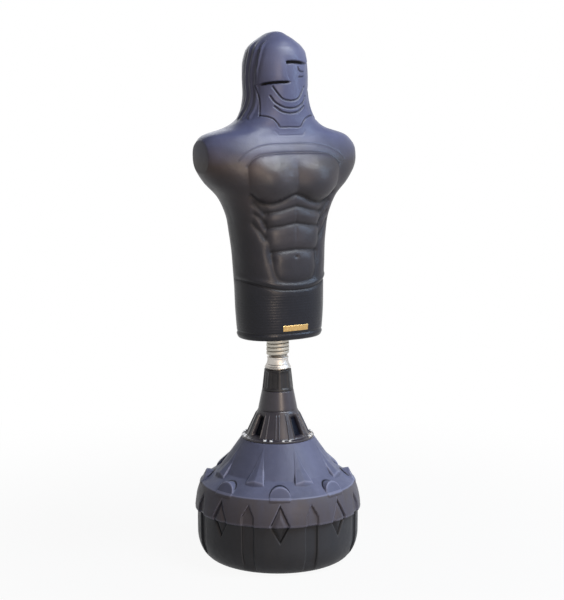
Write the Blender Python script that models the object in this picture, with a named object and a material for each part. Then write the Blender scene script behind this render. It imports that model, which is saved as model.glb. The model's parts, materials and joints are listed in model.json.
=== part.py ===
"""Free-standing boxing dummy: a moulded figure on a sprung neck, a telescopic mast and a ballast base.

The origin is on the floor under the mast's axis. +Z is up, the figure faces -Y, and lengths are metres.
"""

import math

import bmesh
import bpy
import numpy as np
from mathutils import Matrix, Vector

MM = 0.001
TURN = 2 * math.pi

# Clearances
TOUCH = 0.3 * MM
RUNNING = 0.3 * MM
CUT_PAST = 10 * MM

# How finely round pieces are faceted
LARGE_SEGMENTS = 32
ROUND_SEGMENTS = 24
SMALL_SEGMENTS = 16
SCREW_SEGMENTS = 8
BOLT_SIDES = 6

# Base tank: outer shape, between its bosses and channels
LIP_RADIUS = 272 * MM
LIP_HEIGHT = 166 * MM
LIP_THICKNESS = 8 * MM
LIP_OVERHANG = 8 * MM
CORNER_WIDTH = 54 * MM
CORNER_HEIGHT = 88 * MM
CORNER_STEPS = 5
BAND_LEAN = 22.5 * MM
SHOULDER_HEIGHT = 253 * MM
SHOULDER_WIDTH = 66.5 * MM
SHOULDER_RISE = 49 * MM
TANK_TOP_RADIUS = 119.5 * MM
TANK_TOP_HEIGHT = 395.5 * MM
TANK_WALL = 6 * MM
BALLAST_LEVEL = 215 * MM

# Moulded pattern of the base, eight times round
PATTERN_COUNT = 8
PATTERN_TURN = math.radians(240.3)
CHANNEL_HALF_WIDTH = 20 * MM
CHANNEL_DEPTH = 7 * MM
CHANNEL_POINT_BELOW_SHOULDER = 22 * MM
CHANNEL_SIDES_BELOW_SHOULDER = 58 * MM
DIAMOND_TOP_BELOW_SHOULDER = 16 * MM
DIAMOND_BOTTOM_BELOW_LIP = 56 * MM
DIAMOND_HALF_WIDTH = 33 * MM
DIAMOND_DEPTH = 5 * MM
SCOOP_HALF_WIDTH = 33 * MM
SCOOP_RISE = 33 * MM
SCOOP_FACE_LEAN = 22 * MM
FIN_HALF_WIDTH = 23 * MM
FIN_INSIDE_SHOULDER = 34 * MM
FIN_TOP_BELOW_CONE_FOOT = 13 * MM
FIN_FOOT_RISE = 8 * MM
FIN_BEND_INSIDE_CONE_FOOT = 12 * MM
FIN_BEND_RISE = 25 * MM
FIN_BEND_HALF_WIDTH = 12 * MM

# Filler on the shoulder, on the far side of the base
FILLER_INDEX = 4
FILLER_INSIDE_SHOULDER = 32 * MM
FILLER_BOSS_RADIUS = 34 * MM
FILLER_BOSS_RISE = 6 * MM
FILLER_NECK_RADIUS = 26 * MM
FILLER_NECK_HEIGHT = 12 * MM
FILLER_BORE_RADIUS = 21 * MM
CAP_WALL = 4.5 * MM
CAP_TOP_THICKNESS = 5 * MM
CAP_GRIPS = 16
CAP_GRIP_DEPTH = 1.6 * MM
SEAL_THICKNESS = 2 * MM
SEAL_WIDTH = 4 * MM

# Cone cover bolted on the tank
FLANGE_RADIUS = 118 * MM
FLANGE_THICKNESS = 7 * MM
BELL_FOOT_RADIUS = 103.5 * MM
BELL_TOP_RADIUS = 65 * MM
BELL_HEIGHT = 83.4 * MM
BELL_CURVE = 1.5 * MM
COVER_CONE_TOP_RADIUS = 52 * MM
COVER_CONE_HEIGHT = 65.2 * MM
COVER_WALL = 17 * MM
NECK_THREAD_RADIUS = 43 * MM
NECK_THREAD_HEIGHT = 36 * MM
POCKET_COUNT = 4
POCKET_TURN = math.radians(-2.5)
POCKET_HALF_ANGLE = math.radians(11)
POCKET_DEPTH = 11 * MM
POCKET_BOTTOM = 13 * MM
POCKET_TOP = 72 * MM

# Flange bolts, four in each of the wide bays between the pockets
BOLT_ANGLES = (-21, -10, 10, 21)
BOLT_CIRCLE = 111 * MM
BOLT_RADIUS = 3 * MM
BOLT_LENGTH = 24 * MM
BOLT_HEAD_RADIUS = 5 * MM
BOLT_HEAD_HEIGHT = 4.5 * MM

# Mast and its guides
MAST_RADIUS = 30 * MM
MAST_WALL = 3 * MM
MAST_BOTTOM = 76 * MM
MAST_HEAD_THICKNESS = 6 * MM
GUIDE_BORE = 33.5 * MM
GUIDE_WALL = 2.5 * MM
GUIDE_BOTTOM = 60 * MM
GUIDE_FLANGE_RADIUS = 88 * MM
GUIDE_FLANGE_THICKNESS = 3 * MM
FOOT_BUSH_LENGTH = 30 * MM
FOOT_BUSH_FLOOR = 4 * MM
BUSH_BORE_GAP = 0.3 * MM
BUSH_LENGTH = 44 * MM
BUSH_FLANGE_RADIUS = 38 * MM
BUSH_FLANGE_THICKNESS = 3 * MM
BUSH_RADIUS = 35.7 * MM

# Twist lock
COLLAR_BOTTOM_RADIUS = 51 * MM
COLLAR_TOP_RADIUS = 43.8 * MM
COLLAR_HEIGHT = 69 * MM
COLLAR_FLUTES = 16
COLLAR_FLUTE_DEPTH = 1.6 * MM
COLLAR_RIM = 6 * MM
COLLAR_LIP = 6 * MM
COLLAR_CAVITY_RADIUS = 39.5 * MM
COLLET_SKIRT_HEIGHT = 10 * MM
COLLET_TAPER_RADIUS = 37 * MM
COLLET_TAPER = 0.2
COLLET_SLITS = 6
COLLET_SLIT_WIDTH = 2.5 * MM
SLIP_RING_HEIGHT = 11 * MM

# Swivel head of the mast
SPIGOT_RADIUS = 14 * MM
WASHER_THICKNESS = 2 * MM
THRUST_WASHER_RADIUS = 28 * MM
SEAT_RIM_RADIUS = 42.7 * MM
SEAT_RADIUS = 33.5 * MM
SEAT_HEIGHT = 35.6 * MM
MAST_ABOVE_COLLAR = 3.9 * MM
SEAT_ABOVE_COLLAR = 4.7 * MM
SWIVEL_WASHER_RADIUS = 22 * MM
SWIVEL_BOLT_RADIUS = 6 * MM
SWIVEL_BOLT_LENGTH = 34 * MM
SWIVEL_HEAD_RADIUS = 11 * MM
SWIVEL_HEAD_HEIGHT = 8 * MM

# Neck spring
WIRE_RADIUS = 6 * MM
COIL_RADIUS = 31 * MM
COIL_PITCH = 12.6 * MM
COIL_TURNS = 6.5
COIL_POINTS = 10
SPRING_SPIGOT_HEIGHT = 24 * MM
SPIGOT_IN_SPRING_GAP = 0.4 * MM

# Steel core of the figure
PLUG_FLANGE_RADIUS = 54 * MM
PLUG_FLANGE_THICKNESS = 5 * MM
PLUG_SCREWS = 4
PLUG_SCREW_CIRCLE = 46.5 * MM
PLUG_SCREW_RADIUS = 3 * MM
PLUG_SCREW_HEAD_RADIUS = 5 * MM
PLUG_SCREW_HEAD_HEIGHT = 4.5 * MM
CORE_PLATE_HALF_WIDTH = 118 * MM
CORE_PLATE_HALF_DEPTH = 74 * MM
CORE_PLATE_THICKNESS = 5 * MM
CORE_TUBE_RADIUS = 24 * MM
CORE_TUBE_WALL = 2.5 * MM
CORE_TUBE_REACH = 525 * MM
CORE_CAP_THICKNESS = 4 * MM
CORE_CAP_DEPTH = 12 * MM
CUP_WALL = 3 * MM
CUP_GAP = 2 * MM

# Figure: overall sizes and the skin over its foam
FIGURE_SOCKET_DEPTH = 25.5 * MM
FIGURE_HEIGHT = 970 * MM
SKIN = 8 * MM
FIGURE_EDGE = 9 * MM
STUMP_REACH = 272 * MM
STUMP_DISHING = 0.2
PEC_RISE = 15 * MM
PEC_CENTRE_X = 84 * MM
PEC_RISE_ABOVE_BOTTOM = 508 * MM
PEC_HALF_WIDTH = 96 * MM
PEC_HALF_HEIGHT = 74 * MM
GRID_AROUND = 32
WIDEST_ROW = 70 * MM

# Heights of the figure's sections over its lower edge in millimetres: half width, depth in front, depth behind,
# squareness of the outline, and how far its centre lies behind the mast's axis
FIGURE_SECTIONS = (
    (0, 141, 101, 96, 2.3, -10),
    (76, 147, 108, 99, 2.3, -8),
    (167, 149, 114, 103, 2.3, -5),
    (259, 154, 117, 110, 2.3, -2),
    (336, 161.5, 118, 115, 2.3, 2),
    (401, 174, 122.5, 120.5, 2.35, 4),
    (452, 200, 127, 125, 2.4, 6),
    (502, 250, 131, 127, 2.4, 9),
    (548, 281, 129, 126, 2.4, 10),
    (592, 288.5, 118, 122, 2.4, 12),
    (624, 277, 106, 115, 2.35, 14),
    (649, 246, 97, 108, 2.3, 16),
    (669, 177, 92, 103, 2.2, 14),
    (692, 138, 89, 99, 2.15, 10),
    (718, 119, 90, 100, 2.1, 11),
    (756, 106, 94, 103, 2.1, 14),
    (835, 102.5, 96, 105, 2.1, 17.5),
    (885, 98, 92, 101, 2.1, 19.5),
    (921, 84, 79, 89, 2.05, 19),
    (949, 51.5, 56, 63.5, 2.0, 16),
    (963, 29, 32, 37, 2.0, 17),
)

# Sizes that follow from the sizes above
LOWER_RADIUS = LIP_RADIUS - LIP_OVERHANG
FOOT_RADIUS = LOWER_RADIUS - CORNER_WIDTH
SHOULDER_RADIUS = LIP_RADIUS - BAND_LEAN
CONE_FOOT_RADIUS = SHOULDER_RADIUS - SHOULDER_WIDTH
CONE_FOOT_HEIGHT = SHOULDER_HEIGHT + SHOULDER_RISE
CHANNEL_POINT_HEIGHT = SHOULDER_HEIGHT - CHANNEL_POINT_BELOW_SHOULDER
CHANNEL_SHOULDER_HEIGHT = SHOULDER_HEIGHT - CHANNEL_SIDES_BELOW_SHOULDER
DIAMOND_TOP = SHOULDER_HEIGHT - DIAMOND_TOP_BELOW_SHOULDER
DIAMOND_BOTTOM = LIP_HEIGHT - DIAMOND_BOTTOM_BELOW_LIP
SCOOP_TOP = SHOULDER_HEIGHT + SCOOP_RISE
FIN_REACH = SHOULDER_RADIUS - FIN_INSIDE_SHOULDER
FIN_TOP = CONE_FOOT_HEIGHT - FIN_TOP_BELOW_CONE_FOOT
FIN_FOOT = SHOULDER_HEIGHT + FIN_FOOT_RISE
FIN_BEND_RADIUS = CONE_FOOT_RADIUS - FIN_BEND_INSIDE_CONE_FOOT
FIN_BEND_HEIGHT = CONE_FOOT_HEIGHT + FIN_BEND_RISE
FILLER_RADIUS_FROM_AXIS = SHOULDER_RADIUS - FILLER_INSIDE_SHOULDER
FILLER_BOSS_TOP = CONE_FOOT_HEIGHT + FILLER_BOSS_RISE
FILLER_NECK_TOP = FILLER_BOSS_TOP + FILLER_NECK_HEIGHT
FLANGE_BOTTOM = TANK_TOP_HEIGHT + TOUCH
FLANGE_TOP = FLANGE_BOTTOM + FLANGE_THICKNESS
BELL_TOP = FLANGE_TOP + BELL_HEIGHT
COVER_TOP = BELL_TOP + COVER_CONE_HEIGHT
NECK_TOP = COVER_TOP + NECK_THREAD_HEIGHT
BUSH_TOP = NECK_TOP + TOUCH + BUSH_FLANGE_THICKNESS
COLLAR_BOTTOM = COVER_TOP + TOUCH
COLLAR_TOP = COLLAR_BOTTOM + COLLAR_HEIGHT
COLLAR_CEILING = COLLAR_TOP - COLLAR_LIP
MAST_TOP = COLLAR_TOP + MAST_ABOVE_COLLAR
SEAT_RIM_HEIGHT = COLLAR_TOP + SEAT_ABOVE_COLLAR
SEAT_TOP = SEAT_RIM_HEIGHT + SEAT_HEIGHT
COLLET_BOTTOM = BUSH_TOP + TOUCH
COLLET_SHOULDER = COLLET_BOTTOM + COLLET_SKIRT_HEIGHT
SLIP_RING_TOP = COLLAR_CEILING - TOUCH
THRUST_BOTTOM = MAST_TOP + TOUCH
SEAT_HUB = THRUST_BOTTOM + WASHER_THICKNESS + TOUCH
SEAT_SPIGOT_TOP = SEAT_TOP + SPRING_SPIGOT_HEIGHT
SWIVEL_WASHER_BOTTOM = SEAT_SPIGOT_TOP + TOUCH
SWIVEL_HEAD_BOTTOM = SWIVEL_WASHER_BOTTOM + WASHER_THICKNESS + TOUCH
SPRING_START = SEAT_TOP + TOUCH + WIRE_RADIUS
SPRING_END = SPRING_START + COIL_PITCH * COIL_TURNS
PLUG_BOTTOM = SPRING_END + WIRE_RADIUS + TOUCH
PLUG_TOP = PLUG_BOTTOM + PLUG_FLANGE_THICKNESS
PLATE_BOTTOM = PLUG_TOP + TOUCH
PLATE_TOP = PLATE_BOTTOM + CORE_PLATE_THICKNESS
FIGURE_BOTTOM = PLUG_BOTTOM - FIGURE_SOCKET_DEPTH
FIGURE_TOP = FIGURE_BOTTOM + FIGURE_HEIGHT
CORE_TUBE_TOP = FIGURE_BOTTOM + CORE_TUBE_REACH
PEC_CENTRE_Z = FIGURE_BOTTOM + PEC_RISE_ABOVE_BOTTOM
FLEX_HEIGHT = (SPRING_START + SPRING_END) / 2
CUP_RADIUS = PLUG_FLANGE_RADIUS + CUP_GAP + CUP_WALL
FIGURE_HOLE_RADIUS = CUP_RADIUS + TOUCH
GUIDE_RADIUS = GUIDE_BORE + GUIDE_WALL
TANK_HOLE_RADIUS = GUIDE_RADIUS + TOUCH * 2

# Finishes: base colour, roughness and metallic value
FINISHES = {
    "tank_plastic": ((0.16, 0.18, 0.24), 0.38, 0.0),
    "sand": ((0.55, 0.44, 0.28), 0.95, 0.0),
    "black_plastic": ((0.03, 0.03, 0.035), 0.32, 0.0),
    "slate_plastic": ((0.06, 0.065, 0.09), 0.25, 0.0),
    "white_nylon": ((0.80, 0.79, 0.75), 0.5, 0.0),
    "zinc": ((0.66, 0.67, 0.68), 0.3, 1.0),
    "silver_steel": ((0.62, 0.60, 0.57), 0.35, 1.0),
    "satin_aluminium": ((0.74, 0.72, 0.68), 0.4, 1.0),
    "bronze": ((0.55, 0.38, 0.16), 0.35, 1.0),
    "rubber": ((0.02, 0.02, 0.02), 0.8, 0.0),
    "foam": ((0.72, 0.66, 0.45), 0.95, 0.0),
    "navy_skin": ((0.018, 0.022, 0.040), 0.34, 0.0),
}


def clear_scene():
    for obj in list(bpy.data.objects):
        bpy.data.objects.remove(obj, do_unlink=True)


def material_for(name, finish):
    """The piece's own Principled material, in one of the finishes above."""
    colour, roughness, metallic = FINISHES[finish]
    material = bpy.data.materials.new(name + "_" + finish)
    material.use_nodes = True
    shader = material.node_tree.nodes["Principled BSDF"]
    shader.inputs["Base Color"].default_value = (*colour, 1.0)
    shader.inputs["Roughness"].default_value = roughness
    shader.inputs["Metallic"].default_value = metallic
    return material


def add_solid(name, vertices, faces, finish=None, place=(0, 0, 0)):
    """A closed mesh object. Without a finish it is a cutter or a boss that a modifier uses."""
    mesh = bpy.data.meshes.new(name)
    mesh.from_pydata([tuple(v) for v in vertices], [], faces)
    shell = bmesh.new()
    shell.from_mesh(mesh)
    bmesh.ops.recalc_face_normals(shell, faces=shell.faces)
    shell.to_mesh(mesh)
    shell.free()
    obj = bpy.data.objects.new(name, mesh)
    obj.location = place
    bpy.context.scene.collection.objects.link(obj)
    if finish is None:
        obj.hide_render = True
        obj.display_type = "WIRE"
        return obj
    mesh.materials.append(material_for(name, finish))
    mesh.shade_smooth()
    mesh.set_sharp_from_angle(angle=math.radians(30))
    return obj


def turned(name, outline, segments, finish=None, place=(0, 0, 0), squash=1.0, phase=0.0):
    """Turns a closed outline of (radius, height) or (radius, height, flute depth) points about Z.

    A point on the axis becomes one vertex. Every second vertex of a fluted point is set in by its depth.
    """
    vertices = []
    rings = []
    for point in outline:
        radius, height = point[0], point[1]
        flute = point[2] if len(point) > 2 else 0.0
        if radius == 0:
            rings.append([len(vertices)])
            vertices.append((0, 0, height))
            continue
        ring = []
        for i in range(segments):
            angle = phase + TURN * i / segments
            reach = radius - (flute if i % 2 else 0.0)
            ring.append(len(vertices))
            vertices.append((reach * math.cos(angle), squash * reach * math.sin(angle), height))
        rings.append(ring)
    faces = []
    for low, high in zip(rings, rings[1:] + rings[:1]):
        if len(low) == 1 and len(high) == 1:
            continue
        for i in range(segments):
            j = (i + 1) % segments
            if len(low) == 1:
                faces.append((low[0], high[j], high[i]))
            elif len(high) == 1:
                faces.append((low[i], low[j], high[0]))
            else:
                faces.append((low[i], low[j], high[j], high[i]))
    return add_solid(name, vertices, faces, finish, place)


def combined(name, pieces):
    """Joins helper objects that don't touch each other into one cutter or boss."""
    joined = bmesh.new()
    for piece in pieces:
        piece.data.transform(piece.matrix_basis)
        joined.from_mesh(piece.data)
        bpy.data.objects.remove(piece, do_unlink=True)
    mesh = bpy.data.meshes.new(name)
    joined.to_mesh(mesh)
    joined.free()
    obj = bpy.data.objects.new(name, mesh)
    obj.hide_render = True
    obj.display_type = "WIRE"
    bpy.context.scene.collection.objects.link(obj)
    return obj


def boolean(obj, other, operation):
    modifier = obj.modifiers.new(operation.lower() + "_" + other.name, "BOOLEAN")
    modifier.operation = operation
    modifier.solver = "EXACT"
    modifier.object = other


def round_cutter(name, radius, low, high, segments, centre=(0, 0)):
    outline = [(0, low), (radius, low), (radius, high), (0, high)]
    return turned(name, outline, segments, place=(centre[0], centre[1], 0))


def on_circle(radius, angle):
    return radius * math.cos(angle), radius * math.sin(angle)


def curve_points(start, control, end, steps):
    """A quadratic curve from start to end that leans towards the control point."""
    points = []
    for i in range(steps + 1):
        t = i / steps
        points.append(tuple((1 - t) ** 2 * a + 2 * t * (1 - t) * b + t * t * c
                            for a, b, c in zip(start, control, end)))
    return points


def inset(outline, distance):
    """The outline moved sideways by a distance, to the right of its own direction."""
    points = [Vector(p) for p in outline]
    moved = []
    for i, point in enumerate(points):
        before = (point - points[i - 1]).normalized() if i else None
        after = (points[i + 1] - point).normalized() if i + 1 < len(points) else None
        before = before or after
        after = after or before
        side = Vector((before.y, -before.x)) + Vector((after.y, -after.x))
        side.normalize()
        reach = distance / max(0.5, side.dot(Vector((before.y, -before.x))))
        moved.append(tuple(point + side * reach))
    return moved


def radius_at(outline, height):
    """The radius of an outline at a height, read along its straight runs."""
    for (r0, z0), (r1, z1) in zip(outline, outline[1:]):
        if min(z0, z1) <= height <= max(z0, z1) and z0 != z1:
            return r0 + (r1 - r0) * (height - z0) / (z1 - z0)
    return outline[-1][0]


def tank_outline(with_lip=True):
    """The base's outer outline from the rim of its top down to the floor, as (radius, height) points."""
    cone = [(TANK_TOP_RADIUS, TANK_TOP_HEIGHT)]
    shoulder = curve_points((CONE_FOOT_RADIUS, CONE_FOOT_HEIGHT),
                            (SHOULDER_RADIUS - 19 * MM, SHOULDER_HEIGHT + 26 * MM),
                            (SHOULDER_RADIUS, SHOULDER_HEIGHT), 3)
    band = curve_points((SHOULDER_RADIUS + 2 * MM, SHOULDER_HEIGHT - 6 * MM),
                        (LIP_RADIUS - 4 * MM, SHOULDER_HEIGHT - 34 * MM),
                        (LIP_RADIUS, LIP_HEIGHT + LIP_THICKNESS), 2)
    lip = [(LIP_RADIUS, LIP_HEIGHT), (LOWER_RADIUS + 2 * MM, LIP_HEIGHT - 2 * MM)] if with_lip else []
    corner = []
    for i in range(CORNER_STEPS + 1):
        angle = math.pi / 2 * i / CORNER_STEPS
        corner.append((FOOT_RADIUS + (LOWER_RADIUS - FOOT_RADIUS) * math.cos(angle),
                       CORNER_HEIGHT * (1 - math.sin(angle))))
    return cone + shoulder + band + lip + corner


def cavity_depth(extra=0.0):
    """How far the hollow lies inside the outer outline: a wall behind the deepest channel."""
    return TANK_WALL + CHANNEL_DEPTH + extra


def cavity_outline(extra=0.0):
    """The hollow's wall from its ceiling down to its floor."""
    depth = cavity_depth(extra)
    wall = inset(tank_outline(with_lip=False), depth)
    wall[0] = (wall[0][0], TANK_TOP_HEIGHT - depth)
    wall[-1] = (wall[-1][0], depth)
    return wall


def pattern_angle(index):
    return PATTERN_TURN + TURN * index / PATTERN_COUNT


def carried_out(points, angle):
    """Turns (outward, sideways, height) points to a direction about Z."""
    c, s = math.cos(angle), math.sin(angle)
    return [(out * c - side * s, out * s + side * c, height) for out, side, height in points]


def channel_cutter(angle):
    """A strip that follows the outer outline at the channel's depth, with a pointed top."""
    floor_line = inset(tank_outline(with_lip=False), CHANNEL_DEPTH)
    floor_line = [point for point in floor_line if point[1] < CHANNEL_SHOULDER_HEIGHT]
    floor_line[-1] = (floor_line[-1][0] - CUT_PAST, -CUT_PAST / 2)
    reach = LIP_RADIUS + 2 * CUT_PAST
    start_radius = floor_line[0][0]
    floor_line.insert(0, (start_radius - 4 * MM, CHANNEL_SHOULDER_HEIGHT))
    points = []
    for radius, height in floor_line:
        points += [(radius, -CHANNEL_HALF_WIDTH, height), (radius, CHANNEL_HALF_WIDTH, height),
                   (reach, -CHANNEL_HALF_WIDTH, height), (reach, CHANNEL_HALF_WIDTH, height)]
    faces = []
    for i in range(len(floor_line) - 1):
        a, b = 4 * i, 4 * i + 4
        faces += [(a, a + 1, b + 1, b), (a + 2, b + 2, b + 3, a + 3),
                  (a, b, b + 2, a + 2), (a + 1, a + 3, b + 3, b + 1)]
    last = len(points) - 4
    faces.append((last, last + 1, last + 3, last + 2))
    tip = len(points)
    points += [(start_radius - 5 * MM, 0, CHANNEL_POINT_HEIGHT), (reach, 0, CHANNEL_POINT_HEIGHT)]
    faces += [(0, tip, 1), (2, 3, tip + 1), (0, 2, tip + 1, tip), (1, tip, tip + 1, 3)]
    return add_solid("channel_cutter", carried_out(points, angle), faces)


def diamond_cutter(angle):
    """A diamond recess whose floor rises from a groove at its edges to a low pyramid in the middle."""
    middle = LIP_HEIGHT + LIP_THICKNESS / 2
    corners = [(0, DIAMOND_TOP), (DIAMOND_HALF_WIDTH, middle),
               (0, DIAMOND_BOTTOM), (-DIAMOND_HALF_WIDTH, middle)]
    side_floor = LIP_RADIUS - DIAMOND_DEPTH * 2
    floors = [SHOULDER_RADIUS, side_floor, LOWER_RADIUS - DIAMOND_DEPTH, side_floor]
    reach = LIP_RADIUS + 2 * CUT_PAST
    points = [(floor, side, height) for floor, (side, height) in zip(floors, corners)]
    points += [(reach, side, height) for side, height in corners]
    points.append((LIP_RADIUS - 1 * MM, 0, middle))
    faces = [(4, 5, 6, 7)]
    for i in range(4):
        j = (i + 1) % 4
        faces += [(i, j, j + 4, i + 4), (i, 8, j)]
    return add_solid("diamond_cutter", carried_out(points, angle), faces)


def scoop_boss(angle):
    """An arch-shaped boss on the shoulder, its face leaning back from the shoulder's edge."""
    steps = 6
    arch = [(-SCOOP_HALF_WIDTH, SHOULDER_HEIGHT - 6 * MM)]
    spring_line = SCOOP_TOP - SCOOP_HALF_WIDTH
    for i in range(steps + 1):
        turn = math.pi * i / steps
        arch.append((-SCOOP_HALF_WIDTH * math.cos(turn), spring_line + SCOOP_HALF_WIDTH * math.sin(turn)))
    arch.append((SCOOP_HALF_WIDTH, SHOULDER_HEIGHT - 6 * MM))
    inner = CONE_FOOT_RADIUS - 18 * MM
    points = []
    for side, height in arch:
        rise = (height - SHOULDER_HEIGHT) / (SCOOP_TOP - SHOULDER_HEIGHT)
        points.append((SHOULDER_RADIUS + 1 * MM - SCOOP_FACE_LEAN * rise, side, height))
        points.append((inner, side, height - 4 * MM))
    count = len(arch)
    faces = [tuple(range(0, 2 * count, 2)), tuple(range(2 * count - 1, 0, -2))]
    for i in range(count):
        a, b = 2 * i, 2 * ((i + 1) % count)
        faces.append((a, a + 1, b + 1, b))
    return add_solid("scoop_boss", carried_out(points, angle), faces)


def fin_boss(angle):
    """A buttress that widens down the cone from a point, and ends in a short block on the shoulder."""
    tip = (TANK_TOP_RADIUS + 9 * MM, 0, TANK_TOP_HEIGHT - 15 * MM)
    points = [tip]
    for out, half_width, height in ((FIN_BEND_RADIUS, FIN_BEND_HALF_WIDTH, FIN_BEND_HEIGHT),
                                    (FIN_REACH, FIN_HALF_WIDTH, FIN_TOP),
                                    (SHOULDER_RADIUS - 1 * MM, FIN_HALF_WIDTH, FIN_FOOT),
                                    (CONE_FOOT_RADIUS - 22 * MM, FIN_HALF_WIDTH, FIN_FOOT)):
        points += [(out, -half_width, height), (out, half_width, height)]
    faces = [(0, 1, 2), (1, 3, 4, 2), (3, 5, 6, 4), (5, 7, 8, 6), (0, 7, 3, 1), (7, 5, 3), (0, 2, 4, 8),
             (8, 4, 6), (0, 8, 7)]
    return add_solid("fin_boss", carried_out(points, angle), faces)


def filler_centre():
    return on_circle(FILLER_RADIUS_FROM_AXIS, pattern_angle(FILLER_INDEX))


def filler_boss():
    foot = SHOULDER_HEIGHT - 14 * MM
    outline = [(0, foot), (FILLER_BOSS_RADIUS - 4 * MM, foot), (FILLER_BOSS_RADIUS, FILLER_BOSS_TOP - 8 * MM),
               (FILLER_BOSS_RADIUS - 2 * MM, FILLER_BOSS_TOP), (FILLER_NECK_RADIUS, FILLER_BOSS_TOP),
               (FILLER_NECK_RADIUS, FILLER_NECK_TOP), (0, FILLER_NECK_TOP)]
    return turned("filler_boss", outline, ROUND_SEGMENTS, place=(*filler_centre(), 0))


def bolt_angles():
    """Directions of the flange bolts, four to each wide bay."""
    for bay in range(POCKET_COUNT):
        centre = PATTERN_TURN + POCKET_TURN + TURN * bay / POCKET_COUNT
        for angle in BOLT_ANGLES:
            yield centre + math.radians(angle)


def bolt_hole_cutters(name, low, high):
    radius = (BOLT_RADIUS + RUNNING) / math.cos(math.pi / BOLT_SIDES)
    cutters = [round_cutter("hole", radius, low, high, BOLT_SIDES, on_circle(BOLT_CIRCLE, angle))
               for angle in bolt_angles()]
    return combined(name, cutters)


def make_tank():
    outline = [(0, 0)] + tank_outline()[::-1] + [(0, TANK_TOP_HEIGHT)]
    tank = turned("base_tank", outline, LARGE_SEGMENTS, "tank_plastic", phase=PATTERN_TURN)
    half = TURN / PATTERN_COUNT / 2
    bosses = [fin_boss(pattern_angle(i) + half) for i in range(PATTERN_COUNT)]
    bosses += [scoop_boss(pattern_angle(i)) for i in range(PATTERN_COUNT) if i != FILLER_INDEX]
    bosses.append(filler_boss())
    boolean(tank, combined("tank_bosses", bosses), "UNION")
    cuts = [channel_cutter(pattern_angle(i) + half) for i in range(PATTERN_COUNT)]
    cuts += [diamond_cutter(pattern_angle(i)) for i in range(PATTERN_COUNT)]
    boolean(tank, combined("tank_relief", cuts), "DIFFERENCE")
    wall = cavity_outline()
    inside = [(0, wall[-1][1])] + wall[::-1] + [(0, wall[0][1])]
    hollow = turned("tank_hollow", inside, ROUND_SEGMENTS, phase=PATTERN_TURN)
    boolean(tank, hollow, "DIFFERENCE")
    mouth = round_cutter("filler_bore", FILLER_BORE_RADIUS, SHOULDER_HEIGHT - 2 * CUT_PAST,
                         FILLER_NECK_TOP + CUT_PAST, SMALL_SEGMENTS, filler_centre())
    boolean(tank, mouth, "DIFFERENCE")
    low, high = wall[0][1] - CUT_PAST, TANK_TOP_HEIGHT + CUT_PAST
    top = round_cutter("tank_top_hole", TANK_HOLE_RADIUS, low, high, ROUND_SEGMENTS)
    boolean(tank, top, "DIFFERENCE")
    boolean(tank, bolt_hole_cutters("tank_bolt_holes", low, high), "DIFFERENCE")
    return tank


def make_ballast():
    """Sand up to its level, round the guide tube and under it."""
    hollow = cavity_outline(TOUCH)
    wall = [p for p in hollow if p[1] < BALLAST_LEVEL]
    rim = [(radius_at(hollow, BALLAST_LEVEL), BALLAST_LEVEL)]
    outline = ([(0, wall[-1][1])] + wall[::-1] + rim
               + [(GUIDE_RADIUS + TOUCH, BALLAST_LEVEL), (GUIDE_RADIUS + TOUCH, GUIDE_BOTTOM - TOUCH),
                  (0, GUIDE_BOTTOM - TOUCH)])
    return turned("ballast_sand", outline, ROUND_SEGMENTS, "sand", phase=PATTERN_TURN)


def make_filler_cap():
    """A screw cap over the neck, and the flat seal that it presses on the neck's end."""
    seal_bottom = FILLER_NECK_TOP + TOUCH
    seal_top = seal_bottom + SEAL_THICKNESS
    ceiling = seal_top + TOUCH
    inner = FILLER_NECK_RADIUS + RUNNING * 2
    outer = inner + CAP_WALL
    bottom = FILLER_BOSS_TOP + TOUCH * 3
    top = ceiling + CAP_TOP_THICKNESS
    place = (*filler_centre(), 0)
    cap = turned("filler_cap", [
        (inner, bottom), (outer, bottom, CAP_GRIP_DEPTH), (outer, top - 2 * MM, CAP_GRIP_DEPTH),
        (outer - 2.5 * MM, top), (0, top), (0, ceiling), (inner, ceiling)],
        CAP_GRIPS * 2, "black_plastic", place)
    seal_outer = FILLER_NECK_RADIUS - TOUCH
    seal = turned("filler_seal", [
        (seal_outer - SEAL_WIDTH, seal_bottom), (seal_outer, seal_bottom),
        (seal_outer, seal_top), (seal_outer - SEAL_WIDTH, seal_top)],
        SMALL_SEGMENTS, "rubber", place)
    return cap, seal


def bell_outline():
    """The cover's outer line from the flange up to the collar's thread."""
    control = ((BELL_FOOT_RADIUS + BELL_TOP_RADIUS) / 2 + BELL_CURVE, (FLANGE_TOP + BELL_TOP) / 2 - 2 * MM)
    bell = curve_points((BELL_FOOT_RADIUS, FLANGE_TOP), control, (BELL_TOP_RADIUS, BELL_TOP), 5)
    groove = [(BELL_TOP_RADIUS - 2.5 * MM, BELL_TOP + 1 * MM), (BELL_TOP_RADIUS - 2 * MM, BELL_TOP + 4 * MM)]
    return bell + groove + [(COVER_CONE_TOP_RADIUS, COVER_TOP)]


def pocket_cutter(angle):
    """A wedge that sinks one narrow bay between two ribs of the bell."""
    low, high = FLANGE_TOP + POCKET_BOTTOM, FLANGE_TOP + POCKET_TOP
    steps = 4
    points = []
    for i in range(steps + 1):
        height = low + (high - low) * i / steps
        outer = radius_at(bell_outline(), height)
        floor = outer - POCKET_DEPTH
        reach = outer + CUT_PAST
        spread = math.tan(POCKET_HALF_ANGLE)
        points += [(floor, -floor * spread, height), (floor, floor * spread, height),
                   (reach, reach * spread, height), (reach, -reach * spread, height)]
    faces = [(0, 1, 2, 3), tuple(range(4 * steps, 4 * steps + 4))]
    for i in range(steps):
        for j in range(4):
            a, b = 4 * i + j, 4 * i + (j + 1) % 4
            faces.append((a, b, b + 4, a + 4))
    return add_solid("pocket_cutter", carried_out(points, angle), faces)


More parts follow.
